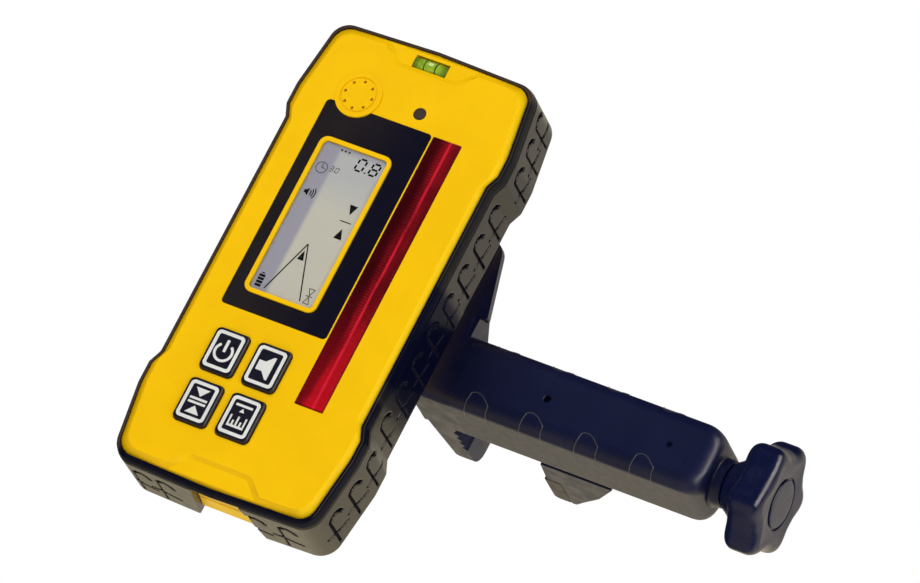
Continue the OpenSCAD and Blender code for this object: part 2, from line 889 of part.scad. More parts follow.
// Gusset between the bracket's ear and the top of the handle
module fin(x1) {
    base = handle_h / 2 + fin_rise;
    root = front_y + plate_t / 2;
    heel = front_y + fin_reach;
    low = handle_h / 2 - bay_r;
    bar(x1 - fin_t, x1)
        polygon([[root, base], [front_y + plate_t, base], [heel, low], [heel, 0], [root, 0]]);
}

// Fixed jaw seen from above, with upright teeth on its gripping face
module fixed_jaw_plan() {
    pitch = tooth_reach / tooth_n;
    left = grip_x - jaw_root;
    tip = jaw_reach + jaw_tip;
    polygon(concat([[grip_x, rear_y - handle_r], [left, rear_y - handle_r], [left, rear_y]],
        [[left + jaw_root / 3, jaw_reach - tooth_t], [left + jaw_root / 2, tip], [grip_x, tip]],
        [for (i = [tooth_n:-1:1], k = [0, 1]) [grip_x - k * tooth_t, i * pitch - k * tooth_t]],
        [[grip_x, rear_y]]));
}

// Fixed jaw seen from the knob's end
module fixed_jaw_side() {
    tip = jaw_reach + jaw_tip;
    half = handle_h / 2;
    heel = rear_y - 2 * handle_r;
    polygon(rounded([[tip, half, jaw_tip_r], [heel, half, 0], [heel, -half, 0], [tip, -half, jaw_tip_r]]));
}

module clamp_frame() {
    rail_t = sleeve_t + tube_t;
    color("dimgray") difference() {
        union() {
            at_case() slab(case_d, case_d + plate_t) bracket_outline();
            for (i = [-1, 1])
                at_case() put([i * peg_x, attach_z]) disc_y(peg_r, case_d - peg_l, case_d + plate_t);
            fin(grip_x + fin_side);
            fin(handle_x0 + fin_t);
            handle_bar(handle_x0, sleeve_x0, 0);
            handle_bar(sleeve_x0 - over, sleeve_x1, sleeve_t);
            translate([0, rear_y - rail_t / 2, 0]) bar(sleeve_x0 - over, sleeve_x1)
                square([rail_t, rail_h], center = true);
            intersection() {
                plan(-handle_h / 2, handle_h / 2) fixed_jaw_plan();
                bar(grip_x - 2 * jaw_root, grip_x + over) fixed_jaw_side();
            }
            slab(rear_y - seat_raise, 0) square([seat_w, rail_h - 2 * bay_r], center = true);
        }
        bay_bar(bay_x0, handle_x1, 0);
        translate([0, rear_y, 0]) bar(slot_x0, handle_x1) square([4 * rail_t, slot_h], center = true);
        at_axis() disc_x(journal_r + bush_t + fit_gap, bay_x0 - journal_l, bay_x0 + over);
        at_case() put([0, attach_z]) disc_y(attach_r + ease, case_d - over, case_d + plate_t + over);
    }
}

module grip_sleeve() {
    x0 = sleeve_x0 + fit_gap;
    x1 = sleeve_x1 - fit_gap;
    color("black") difference() {
        handle_bar(x0, x1, 0);
        handle_bar(x0 - over, x1 + over, sleeve_t - fit_gap);
        translate([0, rear_y, 0]) bar(x0 - over, x1 + over)
            square([3 * sleeve_t, rail_h + 2 * fit_gap], center = true);
    }
}

module handle_end_cap() {
    color("dimgray") difference() {
        union() {
            translate([0, mid_y, 0]) loft([for (i = [edge_steps:-1:0])
                let(a = quarter()[i], d = nose_in * (1 - cos(a)))
                across_x(handle_points(d, handle_r, rear_r + d), sleeve_x1 + nose_l * sin(a))]);
            bay_bar(sleeve_x1 - plug_l, sleeve_x1 + plug_l, fit_gap);
            at_axis() disc_x(hub_r, handle_x1 - nose_l / 2, handle_x1 + hub_l);
        }
        at_axis() disc_x(screw_r + bush_t + fit_gap, sleeve_x1 - 2 * plug_l, handle_x1 + 2 * hub_l);
    }
}

module thrust_bush() {
    color("goldenrod") at_axis() difference() {
        disc_x(screw_r + bush_t, sleeve_x1 - plug_l, handle_x1 + hub_l);
        disc_x(screw_r + run_gap, sleeve_x1 - 2 * plug_l, handle_x1 + 2 * hub_l);
    }
}

module end_bush() {
    color("goldenrod") at_axis() difference() {
        disc_x(journal_r + bush_t, bay_x0 - journal_l + fit_gap, bay_x0);
        disc_x(journal_r + run_gap, bay_x0 - 2 * journal_l, bay_x0 + over);
    }
}

module lead_screw() {
    color("silver") at_axis() {
        disc_x(journal_r, bay_x0 - journal_l + ease, bay_x0 + ease);
        disc_x(screw_r, bay_x0 + ease, knob_x1 - 2 * knob_cap_t);
    }
}

module thrust_collar() {
    x1 = sleeve_x1 - plug_l - ease;
    color("gray") at_axis() difference() {
        disc_x(collar_r, x1 - collar_l, x1);
        disc_x(screw_r + fit_gap, x1 - 2 * collar_l, x1 + over);
    }
}

module jaw_nut() {
    x0 = moving_x + neck_x - nut_over;
    x1 = moving_x + neck_x + neck_l + nut_over;
    color("goldenrod") difference() {
        bay_bar(x0, x1, ease);
        at_axis() disc_x(screw_r + run_gap, x0 - over, x1 + over);
    }
}

// Moving jaw seen from above: a pad face on the left and a buttress on the right
module moving_jaw_plan() {
    tip = jaw_reach + jaw_over;
    back = moving_x + pad_t;
    polygon(rounded([[moving_x + 2 * bay_r, jaw_clear, bay_r], [moving_x + bay_r, pad_y0 - fit_gap, 0],
        [back, pad_y0 - fit_gap, 0], [back, tip, 0], [back + pad_back, tip, bay_r],
        [moving_x + jaw_shoulder, jaw_reach, jaw_round],
        [moving_x + jaw_flank, jaw_reach - jaw_shoulder + tooth_t, jaw_round],
        [moving_x + jaw_foot, jaw_clear, bay_r]]));
}

module moving_jaw() {
    bay_rear = mid_y + bay_d / 2 - ease;
    root = jaw_clear + over;
    color("dimgray") {
        plan(-handle_h / 2, handle_h / 2) moving_jaw_plan();
        translate([0, (bay_rear + root) / 2, 0]) bar(moving_x + neck_x, moving_x + neck_x + neck_l)
            square([root - bay_rear, slot_h - 2 * ease], center = true);
    }
}

module jaw_pad() {
    tip = jaw_reach + jaw_over;
    back = moving_x + pad_t - fit_gap;
    color("black") plan(-handle_h / 2, handle_h / 2)
        polygon(rounded([[moving_x, pad_y0, bay_r], [back, pad_y0, 0], [back, tip, 0],
            [moving_x, tip, 2 * bay_r]]));
}

// Outline of the lobes where the rounded edge has turned by a
function lobe_ring(a, x) =
    let(d = knob_edge * (1 - cos(a)))
    across_x(fluted_points(flute_r - d, knob_r - d, lobes, lobe_turn), x);

module knob() {
    color("black") at_axis() difference() {
        union() {
            translate([knob_x0, 0, 0]) rotate([0, 90, 0])
                cylinder(r1 = hub_r, r2 = knob_back_r, h = knob_back_l + knob_edge / 2);
            loft(concat(
                [for (i = [edge_steps:-1:0]) let(a = quarter()[i])
                    lobe_ring(a, knob_x1 - knob_edge * (1 - sin(a)))],
                [for (a = quarter()) lobe_ring(a, lobe_x0 + knob_edge * (1 - sin(a)))]));
        }
        disc_x(screw_r + fit_gap, knob_x0 - over, knob_x1 - 2 * knob_cap_t);
        disc_x(knob_cap_r + fit_gap, knob_x1 - knob_cap_t, knob_x1 + over);
    }
}

module knob_cap() {
    color("dimgray") at_axis() disc_x(knob_cap_r, knob_x1 - knob_cap_t + fit_gap, knob_x1 - fit_gap);
}

module attach_screw() {
    under = case_d + plate_t + washer_t + fit_gap;
    color("black") at_case() put([0, attach_z]) {
        disc_y(attach_r, case_d - insert_l + ease, under);
        slab(under, under + head_l) polygon(fluted_points(head_r - head_flute_depth, head_r, head_flutes, 0));
    }
}

module attach_washer() {
    color("silver") at_case() put([0, attach_z]) difference() {
        disc_y(washer_r, case_d + plate_t, case_d + plate_t + washer_t);
        disc_y(attach_r + ease, case_d, case_d + 2 * plate_t);
    }
}

front_shell();
rear_shell();
bumper();
case_seal();
bezel();
display_lens();
lcd_panel();
backlight();
red_window();
diode_board();
photodiodes();
main_board();
board_chips();
flex_link();
power_key();
sound_key();
precision_key();
units_key();
dome_switches();
buzzer();
status_lens();
level_vial();
battery_door();
door_pin();
door_seal();
battery_cells();
battery_contacts();
case_screws();
mount_insert();
clamp_frame();
grip_sleeve();
handle_end_cap();
thrust_bush();
end_bush();
lead_screw();
thrust_collar();
jaw_nut();
moving_jaw();
jaw_pad();
knob();
knob_cap();
attach_screw();
attach_washer();
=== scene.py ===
"""Looks of the laser receiver and its rod clamp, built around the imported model.

Sizes are written in millimetres in the part's own frame and turned into metres when a mesh is made.
Places on the receiver use case coordinates: u to the right, d deeper than the face, w up from the middle.
"""

import json
import math
from functools import reduce

import bmesh
import bpy
import numpy as np
from mathutils import Matrix, Vector
from mathutils.geometry import tessellate_polygon

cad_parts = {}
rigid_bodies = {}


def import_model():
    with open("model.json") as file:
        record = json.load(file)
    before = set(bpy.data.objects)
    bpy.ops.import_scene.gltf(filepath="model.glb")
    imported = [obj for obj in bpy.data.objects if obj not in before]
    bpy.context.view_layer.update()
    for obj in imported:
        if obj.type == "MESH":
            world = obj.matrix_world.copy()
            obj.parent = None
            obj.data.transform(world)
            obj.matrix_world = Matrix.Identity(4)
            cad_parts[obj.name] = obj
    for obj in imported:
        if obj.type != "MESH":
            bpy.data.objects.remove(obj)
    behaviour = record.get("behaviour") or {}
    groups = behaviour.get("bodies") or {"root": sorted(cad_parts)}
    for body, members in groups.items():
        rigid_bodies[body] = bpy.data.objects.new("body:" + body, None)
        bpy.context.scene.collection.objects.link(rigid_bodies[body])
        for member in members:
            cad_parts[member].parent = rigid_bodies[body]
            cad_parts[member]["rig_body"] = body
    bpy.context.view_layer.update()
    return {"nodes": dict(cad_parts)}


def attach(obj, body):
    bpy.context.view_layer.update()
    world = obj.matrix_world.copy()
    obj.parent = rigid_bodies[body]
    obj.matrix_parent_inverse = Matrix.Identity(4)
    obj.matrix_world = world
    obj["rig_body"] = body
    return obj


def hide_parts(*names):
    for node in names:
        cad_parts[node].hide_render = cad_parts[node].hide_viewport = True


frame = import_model()

MM = 0.001
CASE = np.array((-49.5, -65.4, 3.75))

# Softened edges of the CAD nodes, and the angles in degrees past which an edge is drawn sharp
WELD, BEVEL_STEPS, BEVEL_ANGLE = 0.002, 2, 38.0
SHARP, SHARP_DRESSED, SHARP_ROUND, SHARP_GROOVED, SHARP_FINE = 32.0, 62.0, 40.0, 50.0, 60.0

# Spacing of the points along the bumper and the sleeve
BUMPER_STEP, SLEEVE_STEP = 0.34, 0.36

# Case outline and bumper
CASE_W, CASE_H = 83.1, 170.0
WAIST_IN, STEP_Z, STEP_LEN = 2.0, 45.2, 4.6
END_TAPER, CORNER_R, END_ARCH = 3.6, 7.5, 1.2
BULGE_LEN, BULGE_R, SHOULDER_R = 8.0, 2.5, 12.0
LIP_T, LIP_D, RUBBER_T, RUBBER_D = 1.9, 7.0, 4.9, 28.2
LIP_SLOPE, RIM_D, CREASE_D, BACK_R = 0.8, 0.8, 4.8, 1.4
NOTCH = ((-7.8, 5.0), (10.2, 5.0), (14.8, 30.2), (-11.7, 30.2))

# Handle, screw axis and knob
REAR_Y, FRONT_Y = -0.4, -28.9
HANDLE_H, HANDLE_R, HANDLE_REAR_R = 25.0, 5.5, 1.2
MID_Y = (REAR_Y + FRONT_Y) / 2
AXIS_Y, AXIS_Z = -13.95, -1.2
SLEEVE_X0, SLEEVE_X1, SLEEVE_T, RAIL_H = -5.45, 79.45, 2.25, 16.7
NOSE_X0, NOSE_X1, NOSE_IN = SLEEVE_X1 + 0.05, 87.5, 4.4
HUB_X1, HUB_R, HUB_FILLET, HUB_EDGE, BUSH_R = 91.3, 8.2, 1.2, 0.7, 5.55
KNOB_X0, LOBE_X0, KNOB_X1 = 91.7, 97.7, 110.4
KNOB_R, FLUTE_R, LOBES, LOBE_TURN, LOBE_POWER = 20.3, 17.2, 6, 87.2, 1.5
KNOB_EDGE, KNOB_BORE = 4.2, 4.65
CAP_R, CAP_GAP, CAP_D, CAP_EDGE_D, CAP_ROUND, CAP_DOME = 8.3, 0.05, 1.15, 0.45, 0.5, 0.4

# Photograph's camera, fitted to the receiver's edges
CAMERA_AT = (969.20, -2223.18, -694.16)
CAMERA_TURN = (1.15274925, 0.558318075, 0.047968159)
FOCAL_PX, IMAGE_W, SENSOR = 7640.15, 920, 36.0


# Shader building

class Nodes:
    """Short calls for building a node tree."""

    def __init__(self, tree):
        self.tree = tree

    def put(self, value, socket):
        """Gives an input a link, a colour triple or another value."""
        if isinstance(value, bpy.types.NodeSocket):
            self.tree.links.new(value, socket)
        else:
            socket.default_value = (*value, 1) if socket.type == "RGBA" else value

    def add(self, kind, inputs=None, **values):
        """A node with its properties set, then its inputs by name or number."""
        node = self.tree.nodes.new(kind)
        for key, value in values.items():
            setattr(node, key, value)
        for key, value in (inputs or {}).items():
            self.put(value, node.inputs[key])
        return node

    def math(self, operation, a, b=0.0):
        """One step of arithmetic on numbers or sockets."""
        return self.add("ShaderNodeMath", {0: a, 1: b}, operation=operation).outputs[0]

    def times(self, *values):
        return reduce(lambda a, b: self.math("MULTIPLY", a, b), values)

    def most(self, *values):
        return reduce(lambda a, b: self.math("MAXIMUM", a, b), values)

    def span(self, value, low, high, to_low=0.0, to_high=1.0):
        """Maps low..high of a value to to_low..to_high, softly at the ends."""
        inputs = {"Value": value, "From Min": low, "From Max": high, "To Min": to_low, "To Max": to_high}
        return self.add("ShaderNodeMapRange", inputs, interpolation_type="SMOOTHSTEP").outputs["Result"]

    def mix(self, fac, a, b):
        """Blend of two colours, each a triple or a socket."""
        return self.add("ShaderNodeMix", {0: fac, 6: a, 7: b}, data_type="RGBA").outputs[2]


class Shader(Nodes):
    """A node material around one Principled BSDF, with object coordinates at hand."""

    def __init__(self, name, colour, rough, **sockets):
        self.mat = bpy.data.materials.new(name)
        self.mat.use_nodes = True
        super().__init__(self.mat.node_tree)
        self.bsdf = self.tree.nodes["Principled BSDF"]
        self.coord = self.add("ShaderNodeTexCoord").outputs["Object"]
        self.rough = rough
        self.give(Base_Color=colour, Roughness=rough, **sockets)

    def give(self, **sockets):
        """Sets inputs of the BSDF, with underscores for the spaces in their names."""
        for key, value in sockets.items():
            self.put(value, self.bsdf.inputs[key.replace("_", " ")])

    def noise(self, size_mm, detail=3.0, stretch=(1, 1, 1)):
        """Noise with features of about size_mm."""
        place = self.add("ShaderNodeMapping", {"Vector": self.coord, "Scale": stretch}).outputs[0]
        inputs = {"Vector": place, "Scale": 1 / (size_mm * MM), "Detail": detail}
        return self.add("ShaderNodeTexNoise", inputs).outputs["Fac"]

    def mottle(self, size_mm, colour, tone):
        """Two colours in soft patches of about size_mm."""
        return self.mix(self.span(self.noise(size_mm, 4.0), 0.35, 0.65), colour, tone)

    def cells(self, size_mm):
        inputs = {"Vector": self.coord, "Scale": 1 / (size_mm * MM)}
        return self.add("ShaderNodeTexVoronoi", inputs, feature="SMOOTH_F1").outputs["Distance"]

    def case(self, name):
        """One case coordinate, u, d or w, in millimetres."""
        index = "udw".index(name)
        split = self.add("ShaderNodeSeparateXYZ", {0: self.coord})
        return self.math("ADD", self.times(split.outputs[index], 1 / MM), -CASE[index])

    def groove(self):
        """1 in the hollows that are marked on the mesh's points, 0 elsewhere."""
        return self.span(self.add("ShaderNodeAttribute", attribute_name="groove").outputs["Fac"], 0.1, 0.6)

    def paint(self, colour):
        self.give(Base_Color=colour)

    def dull(self, fac, gloss):
        """Takes nearly all of the gloss away where fac is 1."""
        self.give(Specular_IOR_Level=self.span(fac, 0.0, 1.0, gloss, 0.02))

    def vary_rough(self, fac, swing):
        self.give(Roughness=self.span(fac, 0.3, 0.7, self.rough - swing, self.rough + swing))

    def bump(self, layers):
        """Bump from (height socket, depth in mm) layers, one over the other."""
        under = {}
        for height, depth in layers:
            inputs = {"Strength": 1.0, "Distance": depth * MM, "Height": height, **under}
            under = {"Normal": self.add("ShaderNodeBump", inputs).outputs[0]}
        self.give(**under)

    def grained(self, grain, depth, patch=5.0, swing=0.06):
        """The material, with gloss uneven by swing in patches and a fine grain."""
        self.vary_rough(self.noise(patch), swing)
        self.bump([(self.noise(grain, 2.0), depth)])
        return self.mat


YELLOW, YELLOW_TONE = (0.865, 0.502, 0.0003), (0.84, 0.48, 0.0003)
YELLOW_ROUGH, YELLOW_GLOSS, YELLOW_GRAIN, YELLOW_DEPTH = 0.36, 0.12, 0.5, 0.006
BLACK, BLACK_TONE = (0.0035, 0.0055, 0.03), (0.005, 0.0072, 0.034)
PATCH = 14.0


def moulded(name, colour, tone, rough, grain, depth, **sockets):
    """Moulded plastic or rubber: mottled colour, uneven gloss and a fine grain."""
    s = Shader(name, colour, rough, **sockets)
    s.paint(s.mottle(PATCH, colour, tone))
    return s.grained(grain, depth)


def grip_material():
    """Black plastic with the pebble grain of a moulded grip, dull in its dimples and painted dark there as
    painted shade.
    """
    cell, depth = 0.75, 0.014
    s = Shader("grip_rubber", BLACK, 0.38)
    dimple_shade = s.groove()
    # Dimples painted near black as painted shade in the hollows
    s.paint(s.mix(dimple_shade, s.mottle(18.0, BLACK, BLACK_TONE), (0.0006, 0.0008, 0.004)))
    s.dull(dimple_shade, 0.5)
    s.vary_rough(s.noise(3.0), 0.02)
    s.bump([(s.cells(cell), depth), (s.noise(cell / 3, 2.0), depth / 3)])
    return s.mat


def metal(name, colour, tone, rough, stretch):
    """Plated or turned metal with fine brushed lines."""
    s = Shader(name, colour, rough, Metallic=1.0)
    s.paint(s.mix(s.span(s.noise(3.0, 5.0), 0.3, 0.7), colour, tone))
    lines = s.noise(1.2, 3.0, stretch)
    s.vary_rough(lines, 0.08)
    s.bump([(lines, 0.01)])
    return s.mat


def grooved_rubber():
    """Semi-gloss black rubber with dull grooves, painted dark in them as painted shade.

    It has a painted olive reflection low down, a painted blue-black shadow by the handle, a painted dark
    reflection on the lower lip and a painted brown reflection on the far rim.
    """
    black, tone = (0.006, 0.006, 0.009), (0.0085, 0.008, 0.0105)
    # Painted reflections: olive low down and brown on the far rim
    olive, brown = (0.042, 0.036, 0.024), (0.05, 0.034, 0.025)
    # Painted shade colours, by the handle and on the lower lip
    shaded, shaded_lip = (0.0016, 0.0022, 0.012), (0.0035, 0.0035, 0.0105)
    # Grooves: painted shade near black, and paler within the handle's painted shadow
    groove_shade, cut_shaded = (0.001, 0.001, 0.005), (0.006, 0.007, 0.014)
    s = Shader("bumper_rubber", black, 0.22)
    u, d, w = (s.case(name) for name in "udw")
    low = s.span(w, -33, -37)
    # Where the handle's shadow is painted on the bumper's side
    handle_shadow = s.times(s.span(w, 13, 6), s.span(w, -34, -27), s.span(u, 36, 38))
    lip, rim = s.span(d, 4.9, 4.3), s.span(d, 2.6, 1.6)
    far = s.most(s.span(u, -34, -37), s.span(w, 77, 80))
    # Painted olive reflection low down
    body = s.mix(low, s.mottle(11.0, black, tone), olive)
    # Painted shadow of the handle
    body = s.mix(handle_shadow, body, shaded)
    # Painted dark reflection on the lower lip
    body = s.mix(s.times(lip, low), body, shaded_lip)
    # Painted brown reflection on the far rim
    body = s.mix(s.times(rim, far), body, brown)
    hollow = s.groove()
    # Grooves painted darker as painted shade
    s.paint(s.mix(hollow, body, s.mix(handle_shadow, groove_shade, cut_shaded)))
    s.dull(s.most(hollow, s.times(handle_shadow, 0.9), s.times(lip, 0.7)), 0.36)
    return s.grained(0.35, 0.006, 4.0, 0.04)


def face_plastic():
    """The yellow of the face, with painted shade on slopes that face down or left and painted light on slopes
    that face right.
    """
    # Painted shade and painted light colours
    deeper, lit_yellow = (0.76, 0.43, 0.0002), (0.93, 0.58, 0.002)
    s = Shader("yellow_face", YELLOW, YELLOW_ROUGH, Specular_IOR_Level=YELLOW_GLOSS)
    normal = s.add("ShaderNodeNewGeometry").outputs["Normal"]
    right, _, up = s.add("ShaderNodeSeparateXYZ", {0: normal}).outputs
    # Painted shade on faces that turn down or left, by their normal
    body = s.mix(s.span(s.math("ADD", right, up), -0.1, -0.5), s.mottle(PATCH, YELLOW, YELLOW_TONE), deeper)
    # Painted light on faces that turn right
    s.paint(s.mix(s.span(right, 0.1, 0.5), body, lit_yellow))
    return s.grained(YELLOW_GRAIN, YELLOW_DEPTH)


def bezel_material():
    """Gloss black with a painted brown reflection on the left, turning blue-black on the right."""
    brown, brown_tone, blue = (0.013, 0.0095, 0.0095), (0.016, 0.012, 0.012), (0.0045, 0.004, 0.012)
    s = Shader("bezel_gloss", brown, 0.22)
    # Painted brown reflection on the left, fading to blue-black on the right
    s.paint(s.mix(s.span(s.case("u"), -22, 12), s.mottle(PATCH, brown, brown_tone), blue))
    return s.grained(0.3, 0.003, swing=0.05)


def display_material():
    """Grey display glass, with a painted lilac shadow towards its left and top edges."""
    cool, lilac = (0.47, 0.475, 0.465), (0.33, 0.32, 0.37)
    s = Shader("display_glass", cool, 0.35, Specular_IOR_Level=0.1)
    u, w = s.case("u"), s.case("w")
    # Painted lilac shadow along the left and top edges
    shade = s.most(s.span(u, -15.6, -13.4, 1.0, 0.0), s.times(s.span(w, 38.6, 41.0), 0.7))
    clean = s.mix(s.noise(9.0), (0.57, 0.54, 0.445), (0.55, 0.525, 0.435))
    s.paint(s.mix(shade, s.mix(s.span(w, 16, 34), clean, cool), lilac))
    s.bump([(s.noise(0.4), 0.002)])
    return s.mat


def window_material():
    """Ribbed red plastic: dark on its left, with a thin bright streak inside that is a painted highlight, and
    painted light that glows brighter towards the bottom.
    """
    black, dark, red = (0.022, 0.0009, 0.002), (0.03, 0.0009, 0.002), (0.21, 0.0036, 0.008)
    bright, painted_glow, light = (0.42, 0.0028, 0.009), (0.56, 0.003, 0.011), (0.62, 0.012, 0.03)
    rib_turn = 6.0
    s = Shader("window_red", red, 0.2, Specular_IOR_Level=0.1)
    u, w = s.case("u"), s.case("w")
    cloud = s.span(s.noise(5.0, 4.0, (1, 1, 0.22)), 0.3, 0.65)
    right = s.span(s.span(u, 15.0, 19.4), 0.0, 1.0, 0.12, 1.0)
    mottled = s.times(right, s.span(cloud, 0.0, 1.0, 0.4, 1.0))
    body = s.mix(mottled, black, red)
    # Painted light: brighter red lower down
    body = s.mix(s.times(s.span(w, 4.0, -40.0), s.span(mottled, 0.1, 0.8, 0.3, 0.85)), body, bright)
    ribs = s.span(s.math("SINE", s.times(w, rib_turn)), 0.0, 0.8)
    ribs = s.times(ribs, s.span(u, 19.8, 18.6), s.span(u, 15.4, 16.8), s.span(w, -34, -22, 0.0, 0.5))
    body = s.mix(ribs, body, dark)
    # Painted glow at the bottom
    body = s.mix(s.times(s.span(w, -40, -51), s.span(u, 14.4, 17.0)), body, painted_glow)
    # Painted highlight: the thin bright streak
    streak = s.times(s.span(u, 19.1, 19.8), s.span(u, 20.6, 19.9), s.span(cloud, 0.1, 0.7, 0.25, 0.9))
    body = s.mix(streak, body, light)
    rim = s.most(s.span(u, 23.2, 23.6), s.span(u, 13.6, 13.2), s.span(w, -45.8, -46.2))
    s.paint(s.mix(s.times(rim, 0.75), body, dark))
    s.bump([(s.noise(0.3, 2.0, (4, 1, 0.5)), 0.006)])
    return s.mat


def vial_material():
    """Green liquid, darker towards the vial's ends."""
    green, deep, ends = (0.36, 0.5, 0.035), (0.2, 0.34, 0.015), (0.1, 0.17, 0.01)
    s = Shader("vial_liquid", green, 0.12, Coat_Weight=0.8, Coat_Roughness=0.04)
    s.paint(s.mix(s.span(s.math("ABSOLUTE", s.case("u")), 2.6, 6.2), s.mottle(0.9, green, deep), ends))
    s.bump([(s.noise(1.0), 0.004)])
    return s.mat


def board_material():
    """Solder mask with faint copper tracks under it."""
    mask, mask_tone, copper = (0.016, 0.15, 0.055), (0.02, 0.18, 0.065), (0.05, 0.27, 0.1)
    s = Shader("board_green", mask, 0.38)
    turned = s.add("ShaderNodeMapping", {"Vector": s.coord, "Rotation": (math.pi / 2, 0, 0)}).outputs[0]
    inputs = {"Vector": turned, "Scale": 1 / (6 * MM), "Mortar Size": 0.03,
              "Color1": mask, "Color2": mask_tone, "Mortar": copper}
    s.paint(s.add("ShaderNodeTexBrick", inputs).outputs["Color"])
    s.bump([(s.noise(0.8), 0.01)])
    return s.mat


def cell_material():
    """Cell jacket: a dark sleeve with a plain coloured band at one end."""
    dark, tone, band = (0.045, 0.055, 0.085), (0.06, 0.07, 0.1), (0.55, 0.33, 0.12)
    s = Shader("cell_sleeve", dark, 0.3, Coat_Weight=0.4)
    s.paint(s.mix(s.span(s.case("w"), -44.0, -43.0), s.mix(s.noise(5.0), dark, tone), band))
    s.bump([(s.noise(2.0), 0.01)])
    return s.mat


def lens_material():
    """Clear hard-coated plastic over the display."""
    s = Shader("lens_clear", (0.05, 0.05, 0.055), 0.08, Alpha=0.05)
    s.vary_rough(s.noise(8.0), 0.03)
    s.bump([(s.noise(6.0), 0.004)])
    return s.mat


def tinted(name, colour, tone, size_mm, rough, coat):
    """Clear-coated plastic with a soft change of tint."""
    s = Shader(name, colour, rough, Coat_Weight=coat)
    s.paint(s.mix(s.noise(size_mm), colour, tone))
    return s.mat


m_yellow = moulded("yellow_plastic", YELLOW, YELLOW_TONE, YELLOW_ROUGH, YELLOW_GRAIN, YELLOW_DEPTH,
                   Specular_IOR_Level=YELLOW_GLOSS)
m_face = face_plastic()
m_rubber = grooved_rubber()
m_pad = moulded("pad_rubber", (0.008, 0.008, 0.011), (0.012, 0.011, 0.013), 0.42, 0.35, 0.012)
m_keys = moulded("key_rubber", (0.006, 0.006, 0.015), (0.008, 0.0075, 0.018), 0.45, 0.3, 0.008)
m_plastic = moulded("clamp_plastic", BLACK, BLACK_TONE, 0.24, 0.45, 0.006)
m_frame = moulded("frame_plastic", BLACK, BLACK_TONE, 0.36, 0.45, 0.008, Specular_IOR_Level=0.42)
m_grip = grip_material()
# Arch beads painted lighter grey, a painted highlight along their ridges
m_bead_highlight = moulded("grip_bead_highlight", (0.045, 0.045, 0.05), (0.055, 0.054, 0.055), 0.4, 0.4, 0.004)
m_white = moulded("white_print", (0.72, 0.72, 0.68), (0.66, 0.66, 0.62), 0.5, 0.25, 0.005)
m_ink = moulded("display_ink", (0.004, 0.004, 0.005), (0.006, 0.006, 0.007), 0.5, 0.3, 0.002,
                Specular_IOR_Level=0.0)
m_faint = moulded("display_faint_ink", (0.04, 0.04, 0.045), (0.055, 0.055, 0.06), 0.5, 0.3, 0.002,
                  Specular_IOR_Level=0.0)
m_steel = metal("plated_steel", (0.56, 0.56, 0.57), (0.47, 0.47, 0.49), 0.28, (1, 1, 9))
m_brass = metal("turned_brass", (0.69, 0.49, 0.2), (0.6, 0.41, 0.15), 0.26, (9, 1, 1))
m_light = moulded("diffuser_plastic", (0.8, 0.8, 0.78), (0.74, 0.74, 0.73), 0.5, 0.6, 0.01)
m_chip = moulded("chip_plastic", (0.015, 0.015, 0.016), (0.022, 0.022, 0.022), 0.5, 0.25, 0.01)
m_ring = moulded("vial_ring", (0.02, 0.03, 0.01), (0.03, 0.05, 0.012), 0.3, 0.2, 0.004)
m_gloss = bezel_material()
m_display = display_material()
m_window = window_material()
m_vial = vial_material()
m_board = board_material()
m_cell = cell_material()
m_lens = lens_material()
m_flex = moulded("flex_film", (0.42, 0.2, 0.04), (0.5, 0.26, 0.06), 0.3, 0.5, 0.006)


# Mesh building

def piece(name, mesh, body, mat, sharp=SHARP):
    """Links a mesh in millimetres as a piece that rides on a body."""
    mesh.transform(Matrix.Scale(MM, 4))
    mesh.materials.append(mat)
    mesh.shade_smooth()
    mesh.set_sharp_from_angle(angle=math.radians(sharp))
    obj = bpy.data.objects.new(name, mesh)
    bpy.context.scene.collection.objects.link(obj)
    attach(obj, body)
    return obj


def mesh_of(verts, faces):
    """A mesh whose faces all look outward."""
    mesh = bpy.data.meshes.new("m")
    mesh.from_pydata([tuple(v) for v in verts], [], faces)
    bm = bmesh.new()
    bm.from_mesh(mesh)
    bmesh.ops.recalc_face_normals(bm, faces=bm.faces)
    bm.to_mesh(mesh)
    bm.free()
    return mesh


def skin(count, size, closed=False, base=0):
    """Faces through count rings of size points.

    closed joins the last ring to the first; otherwise both ends are capped.
    """
    faces = []
    for k in range(count if closed else count - 1):
        a, b = base + k * size, base + ((k + 1) % count) * size
        faces += [(a + i, a + (i + 1) % size, b + (i + 1) % size, b + i) for i in range(size)]
    if not closed:
        last = base + (count - 1) * size
        faces += [tuple(range(base, base + size))[::-1], tuple(range(last, last + size))]
    return faces


def tube(rings, closed=False):
    """A mesh through rings of equal length."""
    return mesh_of(np.concatenate(rings), skin(len(rings), len(rings[0]), closed))


def mark_groove(mesh, field):
    """Keeps how deep each point lies in a groove, from 0 to 1, on the mesh."""
    groove = mesh.attributes.new("groove", "FLOAT", "POINT")
    groove.data.foreach_set("value", (field / field.max()).ravel())


def rounded(corners, steps=8):
    """Outline through corners (x, y, radius), round stretches as arcs."""
    out = []
    n = len(corners)
    for i, (x, y, r) in enumerate(corners):
        b = np.array((x, y))
        if r <= 0:
            out.append(b)
            continue
        u = np.array(corners[i - 1][:2]) - b
        v = np.array(corners[(i + 1) % n][:2]) - b
        u, v = u / np.linalg.norm(u), v / np.linalg.norm(v)
        half = math.acos(np.clip(u @ v, -1, 1)) / 2
        o = b + (u + v) / np.linalg.norm(u + v) * r / math.sin(half)
        p, q = b + u * r / math.tan(half), b + v * r / math.tan(half)
        a0, a1 = (math.atan2(*(e - o)[::-1]) for e in (p, q))
        turn = (a1 - a0 + math.pi) % (2 * math.pi) - math.pi
        out += [o + r * np.array((math.cos(a0 + turn * k / steps), math.sin(a0 + turn * k / steps)))
                for k in range(steps + 1)]
    return np.array(out)


